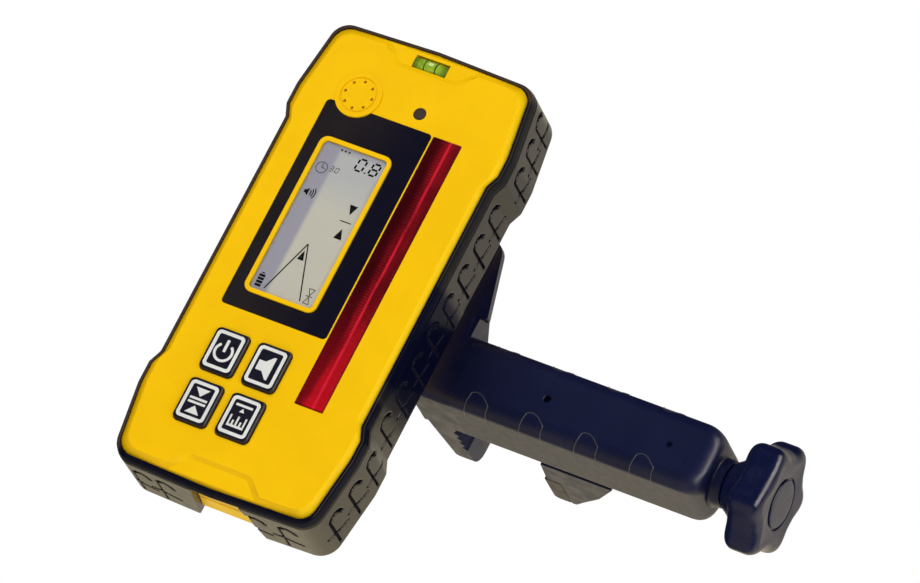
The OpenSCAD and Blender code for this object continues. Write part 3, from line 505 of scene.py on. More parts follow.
def box_outline(w, h, r):
    return rounded([(w / 2, h / 2, r), (-w / 2, h / 2, r), (-w / 2, -h / 2, r), (w / 2, -h / 2, r)])


def even(points, spacing, closed=True):
    """The same line with evenly spaced points."""
    line = np.vstack([points, points[:1]]) if closed else np.asarray(points)
    run = np.concatenate([[0], np.cumsum(np.linalg.norm(np.diff(line, axis=0), axis=1))])
    count = int(round(run[-1] / spacing))
    at = np.linspace(0, run[-1], count, endpoint=not closed)
    return np.column_stack([np.interp(at, run, line[:, k]) for k in range(line.shape[1])]), at


def normals(line, middle=(0, 0), closed=True):
    """Unit normals of a line, pointing away from a middle."""
    if closed:
        along = np.roll(line, -1, axis=0) - np.roll(line, 1, axis=0)
    else:
        along = np.gradient(line, axis=0)
    along /= np.linalg.norm(along, axis=1)[:, None]
    out = np.column_stack([-along[:, 1], along[:, 0]])
    return -out if np.mean(np.sum(out * (line - np.array(middle)), axis=1)) < 0 else out


def near(grid_a, grid_b, stroke):
    """Distance of every grid point from a stroke's line."""
    best = np.full(grid_a.shape, 1e9)
    for (a0, b0), (a1, b1) in zip(stroke[:-1], stroke[1:]):
        da, db = a1 - a0, b1 - b0
        t = np.clip(((grid_a - a0) * da + (grid_b - b0) * db) / (da * da + db * db), 0, 1)
        best = np.minimum(best, np.hypot(grid_a - a0 - t * da, grid_b - b0 - t * db))
    return best


def carve(grid_a, grid_b, strokes):
    """Depth field of strokes (line, width, depth) with soft edges."""
    reach = 3.0
    field = np.zeros(grid_a.shape)
    for line, width, depth in strokes:
        pts = np.asarray(line, float)
        low, high = pts.min(0) - reach, pts.max(0) + reach
        rows = np.where((grid_a[:, 0] > low[0]) & (grid_a[:, 0] < high[0]))[0]
        cols = np.where((grid_b[0] > low[1]) & (grid_b[0] < high[1]))[0]
        if not len(rows) or not len(cols):
            continue
        part = np.ix_(rows, cols)
        t = np.clip(2 - 4 * near(grid_a[part], grid_b[part], pts) / width, 0, 1)
        field[part] = np.maximum(field[part], depth * t * t * (3 - 2 * t))
    return field


def dress(node, mat, bevel, ease=None):
    """A piece with a CAD node's shape and softened edges, in place of that node. ease moves its points first.

    Faces that look straight along the part's axes are shaded flat.
    """
    source = frame["nodes"][node]
    bm = bmesh.new()
    bm.from_mesh(source.data)
    bmesh.ops.scale(bm, vec=(1 / MM,) * 3, verts=bm.verts)
    bmesh.ops.remove_doubles(bm, verts=bm.verts, dist=WELD)
    if ease:
        for vert in bm.verts:
            vert.co = ease(vert.co)
    if bevel:
        bmesh.ops.dissolve_limit(bm, angle_limit=math.radians(0.05), verts=bm.verts, edges=bm.edges)
        limit = math.radians(BEVEL_ANGLE)
        sharp = [e for e in bm.edges if len(e.link_faces) == 2 and e.calc_face_angle(0) > limit]
        bmesh.ops.bevel(bm, geom=sharp, offset=bevel, segments=BEVEL_STEPS, profile=0.5, affect="EDGES",
                        clamp_overlap=True, offset_type="OFFSET")
    bmesh.ops.dissolve_degenerate(bm, dist=WELD / 2, edges=bm.edges)
    mesh = bpy.data.meshes.new(node)
    bm.to_mesh(mesh)
    bm.free()
    obj = piece(node + "_finished", mesh, source["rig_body"], mat, SHARP_DRESSED)
    straight = 0.99995
    for face in obj.data.polygons:
        face.use_smooth = max(abs(c) for c in face.normal) < straight
    if bevel:
        even_normals = obj.modifiers.new("normals", "WEIGHTED_NORMAL")
        even_normals.keep_sharp = True
    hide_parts(node)


def cut(obj, cutter_mesh):
    """Takes a mesh in millimetres out of a piece."""
    cutter_mesh.transform(Matrix.Scale(MM, 4))
    cutter = bpy.data.objects.new("cutter", cutter_mesh)
    bpy.context.scene.collection.objects.link(cutter)
    modifier = obj.modifiers.new("cut", "BOOLEAN")
    modifier.operation, modifier.solver, modifier.object = "DIFFERENCE", "EXACT", cutter
    made = bpy.data.meshes.new_from_object(obj.evaluated_get(bpy.context.evaluated_depsgraph_get()))
    obj.modifiers.clear()
    old = obj.data
    obj.data = made
    bpy.data.meshes.remove(old)
    bpy.data.objects.remove(cutter)


def stand(points, d):
    """Outline points (u, w) on the case at depth d, as points of the part."""
    p = np.asarray(points, float)
    return np.column_stack([p[:, 0], np.full(len(p), d), p[:, 1]]) + CASE


def sheet_mesh(loops, d0, d1):
    """Flat figures on the case, each a list of outlines whose first is the outside, from depth d0 to d1."""
    verts, faces = [], []
    for outlines in loops:
        outlines = [np.asarray(o, float) for o in outlines]
        flat = np.concatenate(outlines)
        base, count = len(verts), len(flat)
        verts += [*stand(flat, d0), *stand(flat, d1)]
        for tri in tessellate_polygon([[Vector((*p, 0)) for p in o] for o in outlines]):
            faces.append(tuple(base + i for i in tri))
            faces.append(tuple(base + count + i for i in tri[::-1]))
        for o in outlines:
            n = len(o)
            edges = [(base + i, base + (i + 1) % n) for i in range(n)]
            faces += [(a, b, b + count, a + count) for a, b in edges]
            base += n
    return mesh_of(verts, faces)


def bar_line(a, b, width):
    """Outline of a straight stroke."""
    a, b = np.array(a, float), np.array(b, float)
    n = (b - a) / np.linalg.norm(b - a)
    side = np.array((-n[1], n[0])) * width / 2
    return [a + side, b + side, b - side, a - side]


def arc_band(centre, r0, r1, a0, a1, steps=28):
    """Outline of part of a ring, angles in degrees."""
    turn = np.radians(np.linspace(a0, a1, steps))
    ring = np.column_stack([np.cos(turn), np.sin(turn)])
    return np.vstack([centre + r1 * ring, centre + r0 * ring[::-1]])


def circle(centre, r, steps=40):
    turn = np.linspace(0, 2 * math.pi, steps, endpoint=False)
    return np.asarray(centre) + r * np.column_stack([np.cos(turn), np.sin(turn)])


def wheel(radius, x, count, centre=(AXIS_Y, AXIS_Z)):
    """Ring across X about the screw axis; radius is a number or a function of the angle."""
    turn = np.linspace(0, 2 * math.pi, count, endpoint=False)
    r = radius(turn) if callable(radius) else np.full(count, float(radius))
    return np.column_stack([np.full(count, x), centre[0] + r * np.cos(turn), centre[1] + r * np.sin(turn)])


def quarter(radius, steps, start=0, end=90):
    """Points along a rounded edge, as how far each lies from the edge's two sides."""
    for a in np.radians(np.linspace(start, end, steps)):
        yield radius * (1 - math.sin(a)), radius * (1 - math.cos(a))


def nearest(points, target):
    """Index of the point closest to a target."""
    return np.argmin(np.linalg.norm(points - np.array(target), axis=1))


# Bumper

def case_outline():
    """Outline of the bumper in (u, w)."""
    w, h, top = CASE_W / 2, CASE_H / 2, STEP_Z + STEP_LEN
    upper = [(w - END_TAPER, h - END_ARCH, CORNER_R), (w, top + BULGE_LEN, SHOULDER_R), (w, top, BULGE_R),
             (w - WAIST_IN, STEP_Z, BULGE_R)]
    side = [(0, h, 0), *upper, *[(x, -y, r) for x, y, r in upper[::-1]], (0, -h, 0)]
    return rounded(side + [(-x, y, r) for x, y, r in side[-2:0:-1]], 10)


# Rounded rim as (inset, depth), places of the hooks, and a hook's grooves as (line, width, depth)
RIM = ((LIP_T, 1.0), (1.78, 0.84), (1.55, 0.8), (1.3, 0.86), (1.08, 1.0), (0.86, 1.27), (0.7, 1.65))
SIDE_HOOKS = (73.95, 64.05, 53.45, 38.35, 27.05, 15.65, 4.35, -6.95, -18.25, -29.55, -40.85, -54.65,
              -65.65, -76.65)
END_HOOKS = (-32.0, -22.8, 11.7, 23.2)
SIDE_FROM, END_FROM = 25, 70
HOOK = (([(0.2, 11.2), (1.6, 10.2), (3.6, 10.1), (5.2, 11.0), (6.2, 12.8)], 1.7, 0.8),
        ([(0, 10.9), (0, 18.6), (0, 25.2)], 1.2, 0.6),
        ([(-3.8, 18.8), (-0.2, 18.9), (2.5, 20.1), (6.4, 21.0)], 1.3, 0.7))
CREASE_AT, CREASE_W, CREASE_T = 5.0, 0.8, 0.28


def hook_strokes(line, run):
    """Grooves of every hook, as lines of (distance round the outline, depth)."""
    strokes = []
    for axis, places, start in ((0, SIDE_HOOKS, SIDE_FROM), (1, END_HOOKS, END_FROM)):
        for place, side in ((p, s) for p in places for s in (1, -1)):
            on = np.where(line[:, axis] * side > start)[0]
            at = run[on[np.argmin(abs(line[on, 1 - axis] - place))]]
            sign = side if axis else -side
            strokes += [([(at + sign * t, d) for t, d in pts], width, depth) for pts, width, depth in HOOK]
    return strokes


def build_bumper():
    line, run = even(case_outline(), BUMPER_STEP)
    out = normals(line)

    def slope(d):
        return LIP_SLOPE * max(0.0, 1 - (d - RIM_D) / (CREASE_D - RIM_D))

    # Section as (inset, depth): rim, slope to the crease, plain band, hooked band, rounded back and inside
    turn = np.radians(np.linspace(0, 90, 7))
    shown = [*RIM]
    shown += [(slope(d), d) for d in (*np.arange(2.1, 4.3, 0.5), *np.arange(4.45, 5.6, 0.2))]
    shown += [(0.0, d) for d in (*np.arange(6.0, 9.0, 0.7), *np.arange(9.2, RUBBER_D - BACK_R - 0.1, 0.3))]
    shown += [(BACK_R * (1 - math.cos(a)), RUBBER_D - BACK_R + BACK_R * math.sin(a)) for a in turn]
    inner = [(RUBBER_T - 0.5, RUBBER_D), (RUBBER_T, RUBBER_D - 0.1), (RUBBER_T, LIP_D), (LIP_T, LIP_D)]
    inset, depth = np.array(shown + inner).T
    grid_s, grid_d = np.meshgrid(run, depth[:len(shown)], indexing="ij")
    crease = ([(0, CREASE_AT), (run[-1] + run[1], CREASE_AT)], CREASE_W, CREASE_T)
    field = np.zeros((len(run), len(depth)))
    field[:, :len(shown)] = carve(grid_s, grid_d, hook_strokes(line, run) + [crease])
    rings = [stand(line - out * (inset[k] + field[:, k])[:, None], depth[k]) for k in range(len(depth))]
    mesh = tube(rings, closed=True)
    mark_groove(mesh, field.T)
    obj = piece("bumper_grooved", mesh, "receiver", m_rubber, SHARP_GROOVED)
    below, within = -3.0, 10.0
    cut(obj, tube([[CASE + (u, d, w - CASE_H / 2) for u, d in NOTCH] for w in (below, within)]))
    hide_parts("bumper")


# Handle

# Arches: the first one's place, their spacing and number, the line of one as (along, round the sleeve),
# how far each edge's arches stand back, and the section of their bead
ARCH_X, ARCH_PITCH, ARCHES = 0.5, 20.6, 4
ARCH = ((-1.7, -10.9), (0, 0), (1.0, 4.2), (2.2, 4.9), (3.8, 4.9), (5.4, 4.2), (8.0, 1.9), (7.4, -4),
        (6.5, -13))
ARCH_BACK = ((-1, 0.0), (1, 5.2))
BEAD = ((0.2, -0.1), (0.15, 0.1), (0.0, 0.18), (-0.15, 0.1), (-0.2, -0.1))
# Dimples as (place, depth), their radius and how steep their walls are
DIMPLES, DIMPLE_R, DIMPLE_STEEP = ((26.2, 0.75), (71.7, 0.35)), 1.45, 2.2


def sleeve_outline():
    """Section of the sleeve, open at the rear: points (y, z), their distances and the normals out of it."""
    half = HANDLE_H / 2
    corner = [(REAR_Y, -half, HANDLE_REAR_R), (FRONT_Y, -half, HANDLE_R), (FRONT_Y, half, HANDLE_R),
              (REAR_Y, half, HANDLE_REAR_R)]
    outer, _ = even(rounded([(REAR_Y, 0, 0)] + corner, 24), 0.12)
    keep = ~((outer[:, 0] > MID_Y) & (abs(outer[:, 1]) < RAIL_H / 2))
    outer, run = even(outer[keep], SLEEVE_STEP, closed=False)
    return outer, run, normals(outer, (MID_Y, 0), closed=False)


def build_sleeve():
    half = HANDLE_H / 2
    outer, run, out = sleeve_outline()
    inner = (outer - out * SLEEVE_T)[::-9]
    inner[:, 0] = np.clip(inner[:, 0], FRONT_Y + SLEEVE_T, REAR_Y - SLEEVE_T)
    inner[:, 1] = np.clip(inner[:, 1], SLEEVE_T - half, half - SLEEVE_T)
    front_mid = run[nearest(outer, (FRONT_Y, 0))]
    xs = np.linspace(SLEEVE_X0, SLEEVE_X1, int((SLEEVE_X1 - SLEEVE_X0) / SLEEVE_STEP))
    grid_x, grid_t = np.meshgrid(xs, run, indexing="ij")
    field = np.zeros(grid_x.shape)
    for x, depth in DIMPLES:
        hole = np.clip(1 - np.hypot(grid_x - x, grid_t - front_mid) / DIMPLE_R, 0, 1)
        field = np.maximum(field, depth * np.minimum(1, DIMPLE_STEEP * hole))
    rings = []
    for k, x in enumerate(xs):
        section = np.vstack([outer - out * field[k][:, None], inner])
        rings.append(np.column_stack([np.full(len(section), x), section]))
    mesh = tube(rings)
    mark_groove(mesh, np.hstack([field, np.zeros((len(xs), len(inner)))]))
    obj = piece("grip_sleeve_embossed", mesh, "receiver", m_grip, SHARP_GROOVED)
    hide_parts("grip_sleeve")


def build_arches():
    """Raised beads in the shape of arches along both front edges of the sleeve."""
    outer, run, out = sleeve_outline()
    inset = HANDLE_R * (1 - math.sqrt(0.5))
    front = run[nearest(outer, (FRONT_Y, 0))]
    verts, faces = [], []
    for sign, back in ARCH_BACK:
        edge = run[nearest(outer, (FRONT_Y + inset, sign * (HANDLE_H / 2 - inset)))]
        towards = math.copysign(1, front - edge)
        for i in range(ARCHES):
            start = ARCH_X + i * ARCH_PITCH
            arch = [(start + x, edge + towards * (t - back)) for x, t in ARCH]
            line, _ = even(np.array(arch), 0.4, False)
            on = np.column_stack([line[:, 0]] + [np.interp(line[:, 1], run, outer[:, k]) for k in (0, 1)])
            up = np.column_stack([0 * line[:, 0]] + [np.interp(line[:, 1], run, out[:, k]) for k in (0, 1)])
            side = np.cross(np.gradient(on, axis=0), up)
            side /= np.linalg.norm(side, axis=1)[:, None]
            faces += skin(len(line), len(BEAD), base=len(verts))
            for k in range(len(line)):
                verts += [on[k] + across * side[k] + high * up[k] for across, high in BEAD]
    piece("grip_arches", mesh_of(verts, faces), "receiver", m_bead_highlight, SHARP_FINE)


def polar(points, count, centre):
    """Points of a closed outline at even angles about a centre."""
    dense, _ = even(points, 0.05)
    rel = dense - centre
    angle = np.mod(np.arctan2(rel[:, 1], rel[:, 0]), 2 * math.pi)
    order = np.argsort(angle)
    radius = np.hypot(*rel.T)
    turn = np.linspace(0, 2 * math.pi, count, endpoint=False)
    r = np.interp(turn, angle[order], radius[order], period=2 * math.pi)
    return centre + r[:, None] * np.column_stack([np.cos(turn), np.sin(turn)])


def build_nose():
    """End of the handle: a rounded nose that runs into the hub around the screw."""
    count = 160
    centre = np.array((AXIS_Y, AXIS_Z))
    rings = []
    for a in np.radians(np.linspace(0, 90, 16)):
        d = NOSE_IN * (1 - math.cos(a))
        y, z = (REAR_Y - FRONT_Y) / 2 - d, HANDLE_H / 2 - d
        front, rear = HANDLE_R + 0.3 * d, HANDLE_REAR_R + d
        outline = rounded([(y, z, rear), (-y, z, front), (-y, -z, front), (y, -z, rear)], 12)
        points = polar(outline + np.array((MID_Y, 0)), count, centre)
        rings.append(np.column_stack([np.full(count, NOSE_X0 + (NOSE_X1 - NOSE_X0) * math.sin(a)), points]))
    rings += [wheel(HUB_R + s, NOSE_X1 + c, count) for s, c in quarter(HUB_FILLET, 6)]
    rings += [wheel(HUB_R - c, HUB_X1 - s, count) for s, c in quarter(HUB_EDGE, 5)]
    rings += [wheel(BUSH_R, HUB_X1, count), wheel(BUSH_R, NOSE_X0, count)]
    obj = piece("handle_nose", tube(rings, closed=True), "receiver", m_grip, SHARP_ROUND)
    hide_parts("handle_end_cap")


# Rings from the knob's face into its recess and bore, as (radius, depth)
KNOB_FACE = ((10.0, 0.3), (9.5, 0.3), (9.3, 0.4), (9.1, 0.9), (8.6, 0.9), (CAP_R + CAP_GAP, 0.9),
             (CAP_R + CAP_GAP, 1.2), (KNOB_BORE, 1.25))


def build_knob():
    count, cap_count = 288, 96

    def lobed(d, share=1.0):
        """Radius round the lobes, d inside them; share is how much of the lobes' height is left."""
        def radius(turn):
            wave = ((1 + np.cos(LOBES * (turn - math.radians(LOBE_TURN)))) / 2) ** LOBE_POWER
            return FLUTE_R - d + share * (KNOB_R - FLUTE_R) * wave
        return radius

    # Rings as (radius, x): hub, its flare, the lobes' two edges and the face
    profile = [(KNOB_BORE, KNOB_X0), (HUB_R - 0.4, KNOB_X0), (HUB_R, KNOB_X0 + 0.4)]
    profile += [(HUB_R + 4.4 * t ** 1.3, KNOB_X0 + 5.9 * t) for t in np.linspace(0.15, 0.9, 6)]
    profile += [(lobed(c), LOBE_X0 + s) for s, c in quarter(KNOB_EDGE, 12, 90, 0)]
    profile += [(lobed(c), KNOB_X1 - s) for s, c in quarter(KNOB_EDGE, 14)]
    profile += [(lobed(KNOB_EDGE + 2.6 * t, 1 - t), KNOB_X1 - 0.25 * t) for t in np.linspace(0.15, 0.85, 5)]
    profile += [(r, KNOB_X1 - depth) for r, depth in KNOB_FACE]
    rings = [wheel(r, x, count) for r, x in profile]
    obj = piece("knob_lobed", tube(rings, closed=True), "screw", m_plastic, SHARP_ROUND)
    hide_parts("knob")

    cap_r = CAP_R - CAP_GAP
    cap = [(cap_r, CAP_D), (cap_r, CAP_EDGE_D)]
    for a in np.radians(np.linspace(15, 90, 6)):
        cap.append((cap_r - CAP_ROUND * (1 - math.cos(a)), CAP_EDGE_D - CAP_DOME * math.sin(a)))
    cap += [(6.0, 0.03), (3.0, 0.01), (0.4, 0)]
    rings = [wheel(r, KNOB_X1 - depth, cap_count) for r, depth in cap]
    obj = piece("knob_cap_domed", tube(rings), "screw", m_plastic, SHARP_ROUND)
    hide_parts("knob_cap")


# Window, vial and lenses

# Middle u and w, width and height of the window, and its ribs
WINDOW = (18.4, 4.5, 10.7, 101.9)
WINDOW_D, CROWN, RIB_T, RIB_PITCH = 3.4, 0.3, 0.14, 1.02
ACROSS = np.array((-0.5, -0.485, -0.45, -0.38, -0.25, -0.1, 0.1, 0.25, 0.38, 0.45, 0.485, 0.5))


def build_window():
    u0, w0, width, height = WINDOW
    across = ACROSS * width
    up = np.arange(-height / 2, height / 2 + 0.01, 0.17)
    rise = CROWN - CROWN * np.clip((abs(across) - 0.45 * width) / (0.05 * width), 0, 1) ** 2
    verts, faces = [], []
    for w in up:
        rib = RIB_T * abs(math.sin(math.pi * w / RIB_PITCH))
        end = np.clip((height / 2 - abs(w)) / 0.5, 0, 1)
        for u, r in zip(across, rise):
            verts.append(CASE + np.array((u0 + u, -(r * end) + rib * end * min(1, r / CROWN), w0 + w)))
    n, rows = len(across), len(up)
    for k in range(rows - 1):
        faces += [(k * n + i, k * n + i + 1, (k + 1) * n + i + 1, (k + 1) * n + i) for i in range(n - 1)]
    border = [*range(n)] + [k * n + n - 1 for k in range(1, rows)]
    border += [(rows - 1) * n + i for i in range(n - 2, -1, -1)] + [k * n for k in range(rows - 2, 0, -1)]
    base, m = len(verts), len(border)
    verts += [verts[i] * np.array((1, 0, 1)) + np.array((0, CASE[1] + WINDOW_D, 0)) for i in border]
    faces += [(border[i], border[(i + 1) % m], base + (i + 1) % m, base + i) for i in range(m)]
    faces.append(tuple(range(base, base + m)))
    obj = piece("red_window_ribbed", mesh_of(verts, faces), "receiver", m_window, SHARP_FINE)
    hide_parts("red_window")


VIAL_D, VIAL_W, VIAL_R, VIAL_L = 2.6, 78.25, 2.4, 12.6
VIAL_MARKS = (-2.1, 2.1)
# Section of a mark as (place along the vial, height over its wall)
VIAL_MARK = ((-0.22, 0.005), (-0.16, 0.05), (0.16, 0.05), (0.22, 0.005), (0.22, -0.1), (-0.22, -0.1))
BUBBLE_L, BUBBLE_T, BUBBLE_H = 1.7, 0.5, 0.95


def build_vial():
    count = 48
    centre = (CASE[1] + VIAL_D, CASE[2] + VIAL_W)
    half = VIAL_L / 2
    ends = [(half, VIAL_R - 0.5), (half - 0.15, VIAL_R - 0.15), (half - 0.5, VIAL_R)]
    profile = [(-x, r) for x, r in ends] + ends[::-1]
    rings = [wheel(r, CASE[0] + x, count, centre) for x, r in profile]
    obj = piece("level_vial_tube", tube(rings), "receiver", m_vial, SHARP_ROUND)
    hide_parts("level_vial")
    for i, x in enumerate(VIAL_MARKS):
        band = [wheel(VIAL_R + high, CASE[0] + x + dx, count, centre) for dx, high in VIAL_MARK]
        piece(f"vial_mark_{i + 1}", tube(band, closed=True), "receiver", m_ring, SHARP_FINE)
    bubble = tinted("vial_bubble", (0.66, 0.78, 0.34), (0.5, 0.64, 0.2), 0.8, 0.1, 0.6)
    rings = []
    for a in np.radians(np.linspace(-85, 85, 13)):
        ring = wheel(math.cos(a), CASE[0] + BUBBLE_L * math.sin(a), 24, (0, 0))
        ring[:, 1] = centre[0] - VIAL_R + 0.45 + ring[:, 1] * BUBBLE_T
        ring[:, 2] = centre[1] + 0.4 + ring[:, 2] * BUBBLE_H
        rings.append(ring)
    piece("vial_bubble", tube(rings), "receiver", bubble, SHARP_FINE)


def build_status_lens():
    centre = (4.8, 61.2)
    dome = ((2.2, 2.6), (2.2, 0.2), (2.1, -0.05), (1.8, -0.2), (1.2, -0.28), (0.5, -0.3))
    glass = tinted("status_glass", (0.075, 0.05, 0.035), (0.03, 0.022, 0.02), 2.0, 0.12, 0.7)
    rings = [stand(circle(centre, r), d) for r, d in dome]
    obj = piece("status_lens_domed", tube(rings), "receiver", glass, SHARP_ROUND)
    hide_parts("status_lens")


# Keys and their legends

KEY_W, KEY_H, KEY_UP = 12.4, 15.5, 1.5
KEYS = {"power": (-17.15, -38.8), "sound": (-1.25, -38.8),
        "precision": (-17.15, -57.8), "units": (-1.25, -57.8)}
# Section of a key from its flange to the middle of its top, as (inset, depth, corner radius)
KEY_SECTION = ((-1.0, 3.5, 1.8), (-1.0, 2.75, 1.8), (0, 2.7, 1.8), (0, -0.7, 1.8), (0.1, -1.1, 1.75),
               (0.3, -1.35, 1.6), (0.65, -1.48, 1.4), (1.2, -KEY_UP, 1.2), (4.5, -1.42, 0.8))
PRINT_D0, PRINT_D1 = -KEY_UP - 0.07, -KEY_UP + 0.3


def key_icon(kind):
    """Outlines of a key's legend about its middle."""
    level = lambda half, y: [bar_line((-half, y), (half, y), 0.8)]
    if kind == "power":
        return [[arc_band((0, -0.4), 2.65, 3.55, 128, 412)], [bar_line((0, -0.3), (0, 4.1), 1.0)]]
    if kind == "sound":
        return [[[(-3.1, 1.7), (-0.7, 1.7), (1.5, 3.9), (2.3, 3.9), (2.3, -4.3), (1.6, -4.3), (-0.7, -1.8),
                  (-3.1, -1.8)]]]
    if kind == "precision":
        down = [(-2.6, 4.6), (2.6, 4.6), (0, 1.7)]
        return [[down], [[(x, -y) for x, y in down]], level(3.2, 0.72), level(3.2, -0.72)]
    figures = [level(3.1, -3.6), level(3.1, 3.9)]
    figures += [[bar_line((x, -3.3), (x, -1.6 + (1.7 if i % 2 == 0 else 0)), 0.6)]
                for i, x in enumerate((-2.8, -1.4, 0, 1.4, 2.8))]
    return figures + [[[(-0.9, 1.6), (0.9, 1.6), (0, 3.0)]]]


def key_line(at, inset, r):
    """Outline of a key about its middle, drawn in by inset."""
    return box_outline(KEY_W - 2 * inset, KEY_H - 2 * inset, r) + at


def build_keys():
    for kind, middle in KEYS.items():
        body, at = kind + "_button", np.array(middle)
        rings = [stand(key_line(at, inset, r), d) for inset, d, r in KEY_SECTION]
        obj = piece(kind + "_key_cap", tube(rings), body, m_keys, SHARP_ROUND)
        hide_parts(kind + "_key")
        band = [key_line(at, 1.0, 1.5), key_line(at, 2.15, 0.7)]
        legend = [[np.asarray(o) + at for o in f] for f in key_icon(kind)]
        for name, figures in (("_key_frame", [band]), ("_key_legend", legend)):
            piece(kind + name, sheet_mesh(figures, PRINT_D0, PRINT_D1), body, m_white)


# Display figures, on the panel behind the lens

INK_D0, INK_D1 = 0.405, 0.46
INK_ZERO, INK_SHIFT, INK_LEAN = (19.0, 3.75), (-0.19, 0.14), 0.14
SEGMENTS = {"0": "abcdef", "3": "abgcd", "8": "abcdefg"}


def digit(kind, at, w, h, t):
    """Seven-segment digit, slanted, about its middle."""
    x, y = w / 2, h / 2
    gap = t * 0.55
    lines = {s: ((gap - x, level), (x - gap, level)) for s, level in (("a", y), ("g", 0), ("d", -y))}
    for s, side, end in (("f", -x, 1), ("b", x, 1), ("e", -x, -1), ("c", x, -1)):
        lines[s] = ((side, end * gap), (side, end * (y - gap)))
    lean = lambda p: np.array((p[0] + INK_LEAN * p[1], p[1])) + at
    return [[bar_line(lean(lines[s][0]), lean(lines[s][1]), t)] for s in SEGMENTS[kind]]


def build_display():
    # Figures are written from the part's middle and stand a little up and left, to be seen through the lens
    shift = np.add(INK_ZERO, INK_SHIFT)
    tri = lambda c, w, h: [[np.array(c) + p for p in ((-w / 2, -h / 2), (w / 2, -h / 2), (0, h / 2))]]
    strong, faint = [], []
    for kind, x in (("0", -24.4), ("8", -19.2)):
        strong += digit(kind, np.array((x, 33.8)), 2.7, 4.3, 0.66)
    strong.append([circle((-21.9, 31.7), 0.32, 12)])
    clock = (-36.7, 28.6)
    faint.append([circle(clock, 2.1), circle(clock, 1.85)])
    faint += [[bar_line(clock, end, 0.25)] for end in ((-36.7, 30.2), (-35.4, 28.6))]
    for kind, x in (("3", -33.2), ("0", -31.2)):
        faint += digit(kind, np.array((x, 29.3)), 1.1, 1.8, 0.26)
    for i in range(3):
        faint.append([bar_line((-33.4 + 1.4 * i, 36.6), (-32.6 + 1.4 * i, 36.6), 0.7)])
    speaker = [(-38.4, 19.7), (-37.7, 19.7), (-36.8, 20.6), (-36.8, 17.6), (-37.7, 18.5), (-38.4, 18.5)]
    strong.append([speaker])
    strong += [[arc_band((-37.3, 19.1), r, r + 0.35, -38, 38, 14)] for r in (1.2, 2.0, 2.8)]
    strong += [tri((-19.7, 18.1), 3.0, -3.6), tri((-19.7, 9.1), 3.0, 3.8)]
    strong.append([bar_line((-21.8, 13.6), (-17.7, 13.6), 0.35)])
    strong += [[bar_line((-28.0, 2.2), (x, -17.2), 0.42)] for x in (-34.8, -21.2)]
    strong.append(tri((-28.0, -2.1), 2.4, 3.6))
    strong += [[bar_line((-37.4, -17.3 + 1.2 * i), (-37.4, -16.4 + 1.2 * i), 2.2)] for i in range(4)]
    strong.append([bar_line((-37.4, -12.5), (-37.4, -12.1), 1.1)])
    faint += [[bar_line((-20.2, -14.6), (-17.8, -14.6), 0.3)]]
    for sign in (1, -1):
        corners = [(-20.1, -14.6 + sign * 2.7), (-17.9, -14.6 + sign * 2.7), (-19.0, -14.6 + sign * 0.3)]
        faint += [[bar_line(corners[i], corners[(i + 1) % 3], 0.26)] for i in range(3)]
    for name, figures, mat in (("display_figures", strong, m_ink), ("display_small_figures", faint, m_faint)):
        placed = [[np.asarray(o) + shift for o in f] for f in figures]
        piece(name, sheet_mesh(placed, INK_D0, INK_D1), "receiver", mat)


# CAD nodes that keep their shape

def paint_nodes():
    finishes = {m_pad: ("case_seal", "door_seal"), m_display: ("lcd_panel",), m_light: ("backlight",),
                m_board: ("diode_board", "main_board"), m_chip: ("photodiodes", "board_chips"),
                m_flex: ("flex_link",), m_cell: ("battery_cells",),
                m_steel: ("dome_switches", "buzzer", "door_pin", "battery_contacts", "case_screws",
                          "lead_screw", "thrust_collar", "attach_washer"),
                m_brass: ("mount_insert", "thrust_bush", "end_bush", "jaw_nut")}
    for mat, names in finishes.items():
        for name in names:
            data = frame["nodes"][name].data
            data.materials.clear()
            data.materials.append(mat)


# Floor of the two pressed trapezoids: its reach in u, d and w, and how far it is drawn in
RELIEF = ((8, 21), (0.6, 0.8), (74, 83.5))
RELIEF_NARROW, RELIEF_MOVE, RELIEF_FIXED, RELIEF_SPAN = 0.89, 1.5, 82.7, 4.1


def slope_relief(co):
    """Draws in the floor of the two pressed trapezoids, so that their walls slope."""
    u, d, w = np.array(co) - CASE
    if all(low < value < high for value, (low, high) in zip((abs(u), d, abs(w)), RELIEF)):
        u *= RELIEF_NARROW
        w += math.copysign(RELIEF_MOVE * min(1, max(0, (RELIEF_FIXED - abs(w)) / RELIEF_SPAN)), w)
    return Vector(CASE + (u, d, w))


def dress_nodes():
    dress("front_shell", m_face, 0, ease=slope_relief)
    for node, mat, bevel in (("rear_shell", m_yellow, 0.3), ("battery_door", m_yellow, 0.35),
                             ("bezel", m_gloss, 0.15), ("display_lens", m_lens, 0.2),
                             ("clamp_frame", m_frame, 0.6), ("moving_jaw", m_frame, 0.4),
                             ("jaw_pad", m_pad, 0.4), ("attach_screw", m_plastic, 0.4)):
        dress(node, mat, bevel)


# Stage, in metres

FLOOR_Z, FLOOR_HALF = -1.35, 12.0
LIT_AT = Vector((0.005, -0.04, 0.0))
# Name, place, size and power of each soft light, and whether it shows in gloss
LAMPS = (("key", (-0.9, -1.9, 1.15), 1.5, 31.5, False), ("fill", (1.5, -1.5, -0.1), 1.6, 13.3, False),
         ("rear", (0.6, 1.9, 0.9), 1.6, 24, False), ("side", (1.7, 0.5, -0.7), 1.2, 8, False),
         ("glint", (1.3, -0.9, 0.15), 0.35, 1.4, True))


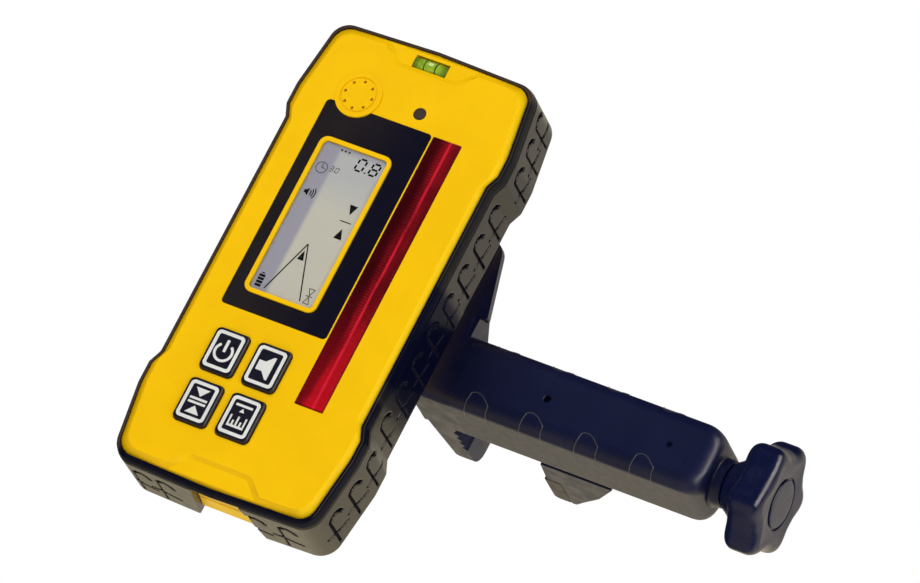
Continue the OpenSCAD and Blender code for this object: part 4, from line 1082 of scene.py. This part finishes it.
def build_world():
    """White to the camera, plain light for diffuse rays and a studio that only gloss shows.

    That studio is dark in front, bright behind, warmer below, with a strip of light on the right.
    """
    world = bpy.data.worlds.new("studio")
    world.use_nodes = True
    bpy.context.scene.world = world
    world.node_tree.nodes.clear()
    n = Nodes(world.node_tree)

    def background(colour, strength=1.0):
        return n.add("ShaderNodeBackground", {"Color": colour, "Strength": strength}).outputs[0]

    def choose(fac, a, b):
        return n.add("ShaderNodeMixShader", {0: fac, 1: a, 2: b}).outputs[0]

    direction = n.add("ShaderNodeTexCoord").outputs["Generated"]
    x, y, z = n.add("ShaderNodeSeparateXYZ", {0: direction}).outputs
    behind = n.span(n.math("ADD", y, n.times(x, 0.45)), 0.4, 0.85)
    bright = n.mix(n.span(z, -0.25, 0.25), (1.1, 0.96, 0.66), (0.7, 0.63, 0.49))
    studio = n.mix(behind, (0.012, 0.014, 0.03), bright)
    studio = n.mix(n.span(z, -0.6, -1.0), studio, (0.4, 0.35, 0.25))
    across = n.math("ABSOLUTE", n.math("ADD", n.times(x, 0.396), n.times(y, 0.918)))
    strip = n.times(n.span(across, 0.34, 0.12), n.span(x, 0.5, 0.65), n.span(z, -0.55, -0.3))
    studio = n.mix(strip, studio, (6.2, 5.7, 4.9))
    path = n.add("ShaderNodeLightPath")
    mirrored = n.most(path.outputs["Is Glossy Ray"], path.outputs["Is Transmission Ray"])
    hidden = choose(mirrored, background((0.97, 0.98, 1.0), 0.24), background(studio))
    shown = choose(path.outputs["Is Camera Ray"], hidden, background((1.0, 1.0, 1.0)))
    n.add("ShaderNodeOutputWorld", {0: shown})


def build_stage():
    scene = bpy.context.scene
    scene.view_settings.view_transform = "Standard"
    build_world()
    corners = [(x * FLOOR_HALF, y * FLOOR_HALF, FLOOR_Z) for x, y in ((-1, -1), (1, -1), (1, 1), (-1, 1))]
    mesh = bpy.data.meshes.new("floor")
    mesh.from_pydata(corners, [], [(0, 1, 2, 3)])
    floor = bpy.data.objects.new("floor", mesh)
    scene.collection.objects.link(floor)
    pale = Shader("floor_pale", (0.9, 0.9, 0.9), 0.9, Emission_Color=(1, 1, 1), Emission_Strength=0.35)
    mesh.materials.append(pale.mat)
    floor.visible_glossy = False
    for name, at, size, power, shows in LAMPS:
        data = bpy.data.lights.new(name, "AREA")
        data.shape, data.size, data.energy = "DISK", size, power
        lamp = bpy.data.objects.new(name, data)
        lamp.location = at
        lamp.rotation_mode = "QUATERNION"
        lamp.rotation_quaternion = (LIT_AT - Vector(at)).to_track_quat("-Z", "Y")
        lamp.visible_glossy = shows
        lamp.visible_camera = False
        scene.collection.objects.link(lamp)


def build_camera():
    turn = Vector(CAMERA_TURN)
    world_to_camera = Matrix.Rotation(turn.length, 3, turn.normalized())
    data = bpy.data.cameras.new("camera")
    data.sensor_width = SENSOR
    data.lens = FOCAL_PX / IMAGE_W * SENSOR
    data.clip_end = 100
    camera = bpy.data.objects.new("camera", data)
    flip = Matrix(((1, 0, 0), (0, -1, 0), (0, 0, -1)))
    turned = (world_to_camera.transposed() @ flip).to_4x4()
    camera.matrix_world = Matrix.Translation(Vector(CAMERA_AT) * MM) @ turned
    bpy.context.scene.collection.objects.link(camera)
    bpy.context.scene.camera = camera


build_camera()
build_stage()
paint_nodes()
dress_nodes()
build_bumper()
build_sleeve()
build_arches()
build_nose()
build_knob()
build_window()
build_vial()
build_status_lens()
build_keys()
build_display()
